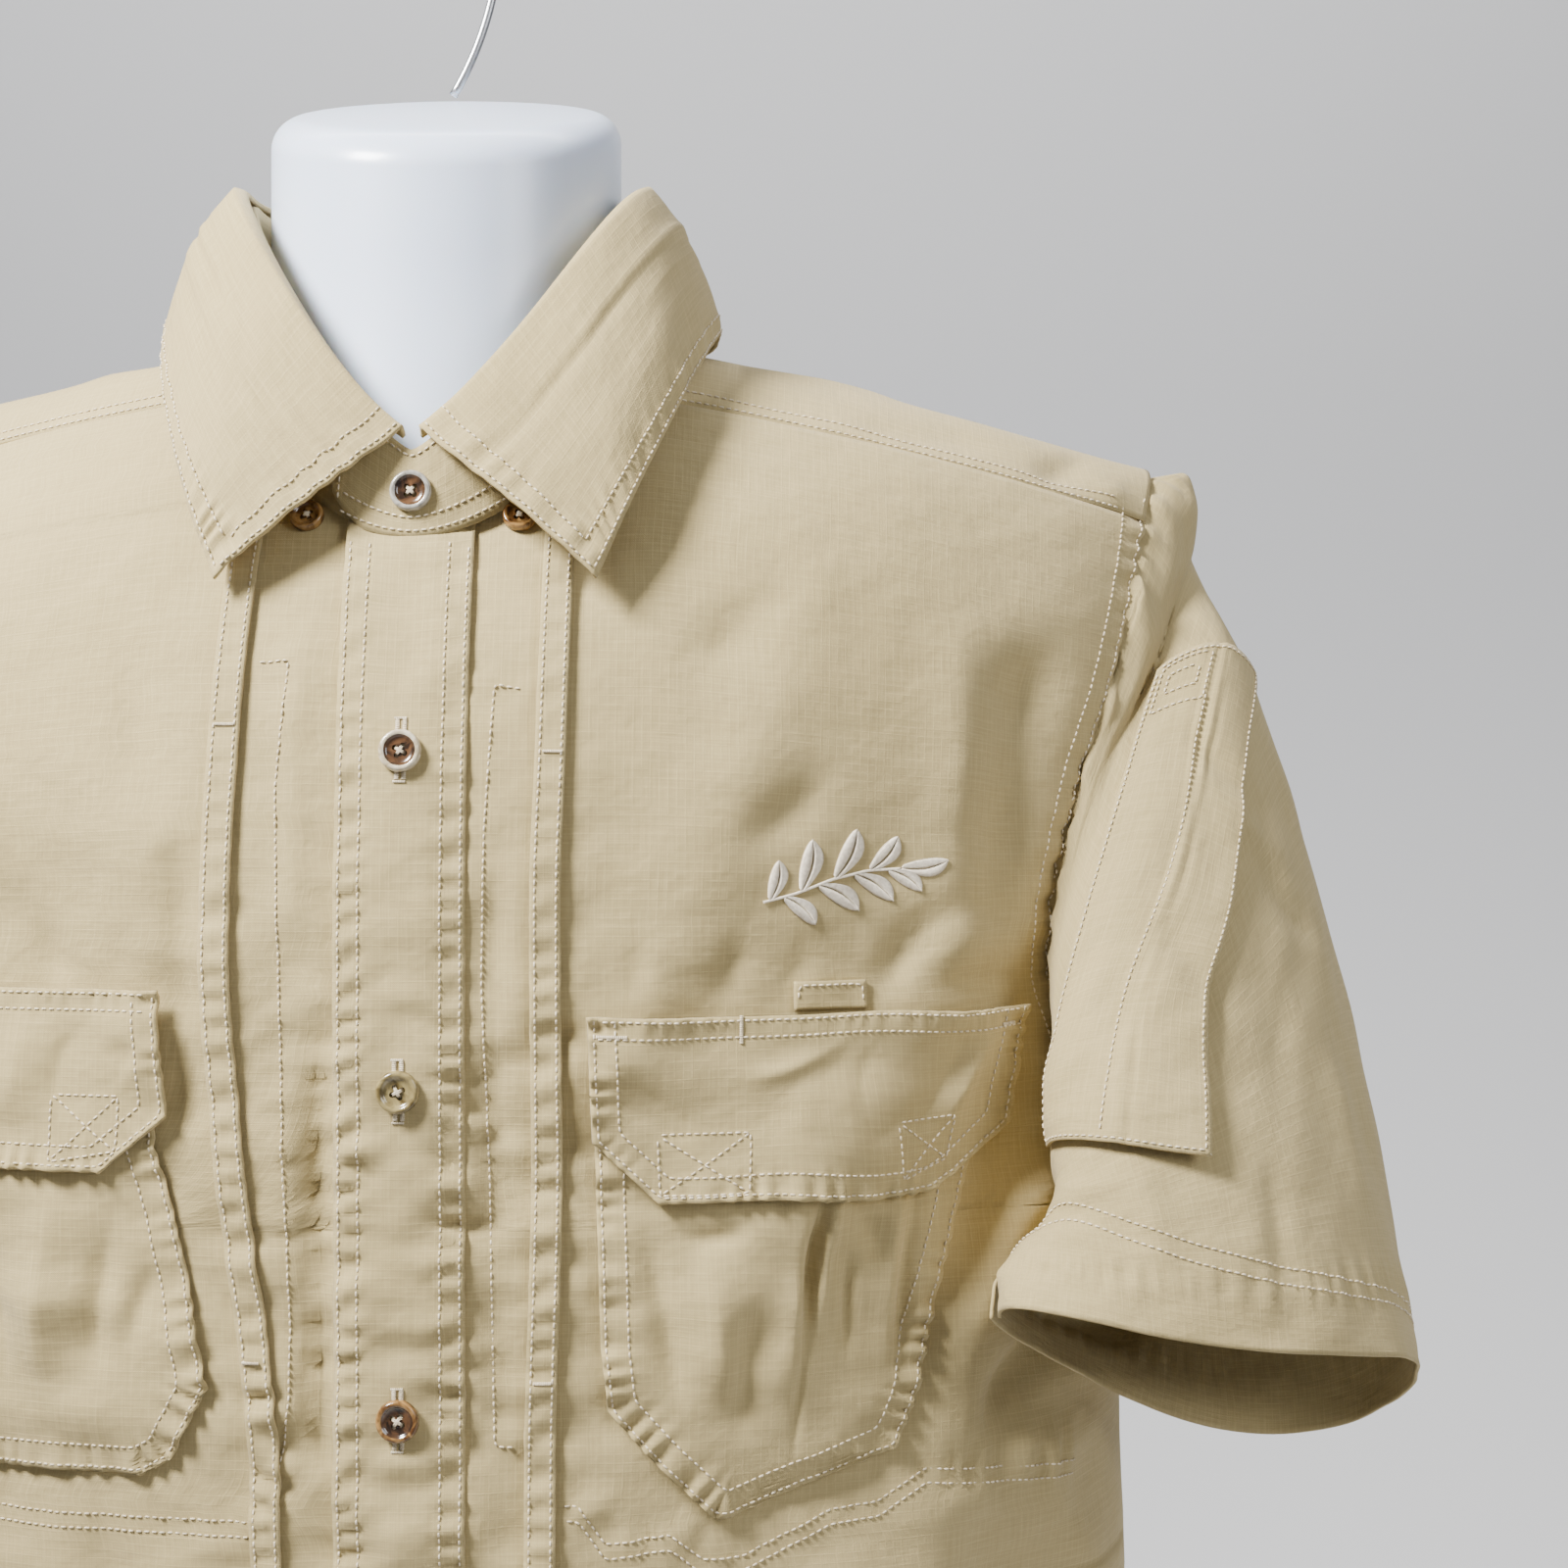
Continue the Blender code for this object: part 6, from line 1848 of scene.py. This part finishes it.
collar_rows = []
for share, first in ((0.977, 3.2), (0.895, 7.8)):
    around = np.linspace(first, 360.0 - first, 700)
    collar_rows.append(leaf_laid(around, share, ROW_LIFT))
    rising = np.linspace(share, 0.10, 120)
    for turn in (first, 360.0 - first):
        collar_rows.append(leaf_laid(turn, rising, ROW_LIFT))
around = np.linspace(STAND_TAB_TURN + 3.0, 360.0 - STAND_TAB_TURN, 500)
for share in (0.07, 0.22, 0.92):
    collar_rows.append(stand_laid(around[:420], share, ROW_LIFT))
collar_rows.append(stand_laid(STAND_TAB_TURN + 2.6, np.linspace(0.14, 0.88, 40), ROW_LIFT))
stitched("collar_stitches", collar_rows)

# close-set threads: bartacks, buttonholes and the crosses that hold the buttons
BAR_PITCH = 0.00052
tack_starts, tack_ends, tack_outs = [], [], []


def bar(surface, from_spot, to_spot, width):
    """A bar of close threads that lie square to the line from one spot to the other."""
    from_spot, to_spot = np.array(from_spot, float), np.array(to_spot, float)
    length = np.linalg.norm(to_spot - from_spot)
    run = (to_spot - from_spot) / length
    left = np.array([-run[1], run[0]]) * width / 2.0
    spots = from_spot + run * np.arange(0.0, length, BAR_PITCH)[:, None]
    low_points, outs = surface(spots[:, 0] - left[0], spots[:, 1] - left[1])
    high_points, _ = surface(spots[:, 0] + left[0], spots[:, 1] + left[1])
    tack_starts.append(low_points)
    tack_ends.append(high_points)
    tack_outs.append(np.broadcast_to(outs, low_points.shape))


def on_left_welt(x, z):
    return welt_laid(WELT_LEFT, x, z, TACK_LIFT)


def on_right_welt(x, z):
    return welt_laid(WELT_RIGHT, x, z, TACK_LIFT)


def on_left_flap(x, z):
    return flap_laid(FLAP_LEFT, POCKET_LEFT, FLAP_LEFT_CREASES, x, z, TACK_LIFT)


def on_placket(x, z):
    return placket_laid(x, z, TACK_LIFT)


BARTACKS = (
    # surface, from x and z, to x and z, width
    (on_left_welt, (0.0412, 0.6590), (0.0466, 0.6590), 0.0011),
    (on_left_welt, (0.0388, 0.4760), (0.0440, 0.4760), 0.0011),
    (on_right_welt, (-0.0545, 0.6670), (-0.0492, 0.6670), 0.0011),
    (on_right_welt, (-0.0452, 0.4820), (-0.0402, 0.4820), 0.0011),
    (on_left_flap, (0.0974, 0.5822), (0.0974, 0.5742), 0.0013),
    (on_left_flap, (0.0572, 0.5767), (0.0650, 0.5767), 0.0012),
    (on_left_flap, (0.1752, 0.5767), (0.1800, 0.5767), 0.0012),
)
for tack in BARTACKS:
    bar(*tack)
for number in range(1, 7):
    back = button_frames["button_" + str(number)][0]
    for x in (-0.00105, 0.00105):
        bar(on_placket, (x, back[2] + 0.0088), (x, back[2] - 0.0088), 0.0016)
    for rise in (0.0092, -0.0092):
        bar(on_placket, (-0.0018, back[2] + rise), (0.0018, back[2] + rise), 0.0009)
strands("bartacks_and_buttonholes", np.concatenate(tack_starts), np.concatenate(tack_ends),
        np.concatenate(tack_outs), 0.00027, cream_thread)

cross_starts, cross_ends, cross_outs = [], [], []
for back, out, across, other, radius in button_frames.values():
    lifted = back + out * (BUTTON_THICK * 0.56 + 0.0004)
    for step in (-0.00022, 0.00022):
        for first, second in ((across + other, -across - other), (across - other, other - across)):
            shift = unit(np.cross(out, second - first)) * step
            cross_starts.append(lifted + first * radius * 0.19 + shift)
            cross_ends.append(lifted + second * radius * 0.19 + shift)
            cross_outs.append(out)
strands("button_threads", cross_starts, cross_ends, cross_outs, 0.00030, cream_thread)

# Chest embroidery: a plain leafy sprig in satin stitch, cream rayon thread, 57 mm wide,
# each leaf filled from its midrib outward, sewn through the left front.
SPRIG_STEM = (
    # x, z
    (0.1050, 0.6150), (0.1150, 0.6175), (0.1260, 0.6215), (0.1370, 0.6240), (0.1470, 0.6245),
)
SPRIG_LEAVES = (
    # share of the stem, turn from it in degrees, length, width
    (0.06, 66.0, 0.0125, 0.0058),
    (0.16, -58.0, 0.0130, 0.0060),
    (0.29, 60.0, 0.0160, 0.0070),
    (0.42, -54.0, 0.0150, 0.0068),
    (0.54, 55.0, 0.0165, 0.0070),
    (0.68, -50.0, 0.0145, 0.0064),
    (0.80, 50.0, 0.0135, 0.0060),
    (0.92, -40.0, 0.0120, 0.0054),
    (1.00, 8.0, 0.0140, 0.0060),
)
SATIN_PITCH = 0.00044
SATIN_RADIUS = 0.00031
rayon = sewing_thread("cream_rayon", (0.70, 0.61, 0.48), (0.88, 0.80, 0.66), 0.40)
stem = dense(SPRIG_STEM, 0.0006)
stem_runs = unit(np.gradient(stem, axis=0))
satin_from, satin_to = [], []
for step in range(len(stem) - 3):
    for shift in (-0.00030, 0.00030):
        left = np.array([-stem_runs[step, 1], stem_runs[step, 0]]) * shift
        satin_from.append(stem[step] + left)
        satin_to.append(stem[step + 3] - left)
for share, degrees, length, width in SPRIG_LEAVES:
    at = min(int(share * (len(stem) - 1)), len(stem) - 1)
    turn = math.radians(degrees)
    run = np.array([stem_runs[at, 0] * math.cos(turn) - stem_runs[at, 1] * math.sin(turn),
                    stem_runs[at, 0] * math.sin(turn) + stem_runs[at, 1] * math.cos(turn)])
    left = np.array([-run[1], run[0]])
    for along in np.arange(0.0, length - 0.0008, SATIN_PITCH):
        bow = 0.10 * length * math.sin(math.pi * along / length) * math.copysign(1.0, -degrees)
        rib = stem[at] + run * along + left * bow
        reach = width / 2.0 * math.sin(math.pi * min(1.0, (along + 0.0012) / length)) ** 0.75
        for hand in (-1, 1):
            satin_from.append(rib)
            satin_to.append(rib + run * (0.0006 + reach * 0.55) + left * hand * reach)
satin_from, satin_to = np.array(satin_from), np.array(satin_to)
from_points, from_outs = laid(satin_from[:, 0], satin_from[:, 1], 0.0004)
to_points, _ = laid(satin_to[:, 0], satin_to[:, 1], 0.0002)
strands("chest_sprig", from_points, to_points, from_outs, SATIN_RADIUS, rayon)


# Studio: a pale curved backdrop, soft light from above and in front, and the photograph's view.
CAMERA_PLACE = (0.1116, -0.875, 0.65)
CAMERA_LENS = 58.5
BACKDROP_BEND = 1.1
BACKDROP_Y = 0.9


LIGHTS = (
    # name, place, target, width and height, watts, colour, spread in degrees
    ("key_light", (-0.80, -0.72, 1.62), (0.0, -0.05, 0.70), (0.42, 0.42), 13.0, (1.0, 0.985, 0.95), 66.0),
    ("side_light", (1.5, -1.1, 1.3), (0.25, -0.08, 0.60), (0.7, 1.0), 3.6, (0.97, 0.98, 1.0), 80.0),
    ("wall_light", (0.0, 0.55, 2.4), (0.2, 2.0, 0.9), (2.4, 0.5), 44.0, (1.0, 1.0, 1.0), 170.0),
)


def soft_light(name, place, target, size, power, colour, spread):
    """A rectangular lamp turned to its target."""
    light = bpy.data.lights.new(name, "AREA")
    light.shape = "RECTANGLE"
    light.size, light.size_y = size
    light.energy = power
    light.color = colour
    light.spread = math.radians(spread)
    lamp = bpy.data.objects.new(name, light)
    lamp.location = place
    lamp.rotation_euler = (Vector(target) - Vector(place)).to_track_quat("-Z", "Y").to_euler()
    bpy.context.scene.collection.objects.link(lamp)


sweep = [(-5.0, 0.0)]
for bend in np.radians(np.linspace(0.0, 90.0, 19)):
    sweep.append((BACKDROP_Y + BACKDROP_BEND * math.sin(bend), BACKDROP_BEND * (1.0 - math.cos(bend))))
sweep.append((BACKDROP_Y + BACKDROP_BEND, 5.0))
backdrop = mesh_piece("backdrop", [(x, y, z) for y, z in sweep for x in (-6.0, 6.0)],
                      [(2 * i, 2 * i + 1, 2 * i + 3, 2 * i + 2) for i in range(len(sweep) - 1)],
                      plain_finish("pale_backdrop", (0.72, 0.72, 0.73), 0.9))
world = bpy.data.worlds.new("pale_room")
world.use_nodes = True
sky = world.node_tree.nodes["Background"]
sky.inputs["Color"].default_value = (0.86, 0.88, 0.92, 1.0)
sky.inputs["Strength"].default_value = 0.30
bpy.context.scene.world = world
for light in LIGHTS:
    soft_light(*light)

lens = bpy.data.cameras.new("photo_view")
lens.lens = CAMERA_LENS
lens.sensor_width = 36.0
camera = bpy.data.objects.new("photo_view", lens)
camera.location = CAMERA_PLACE
camera.rotation_euler = (math.radians(90.0), 0.0, 0.0)
bpy.context.scene.collection.objects.link(camera)
bpy.context.scene.camera = camera
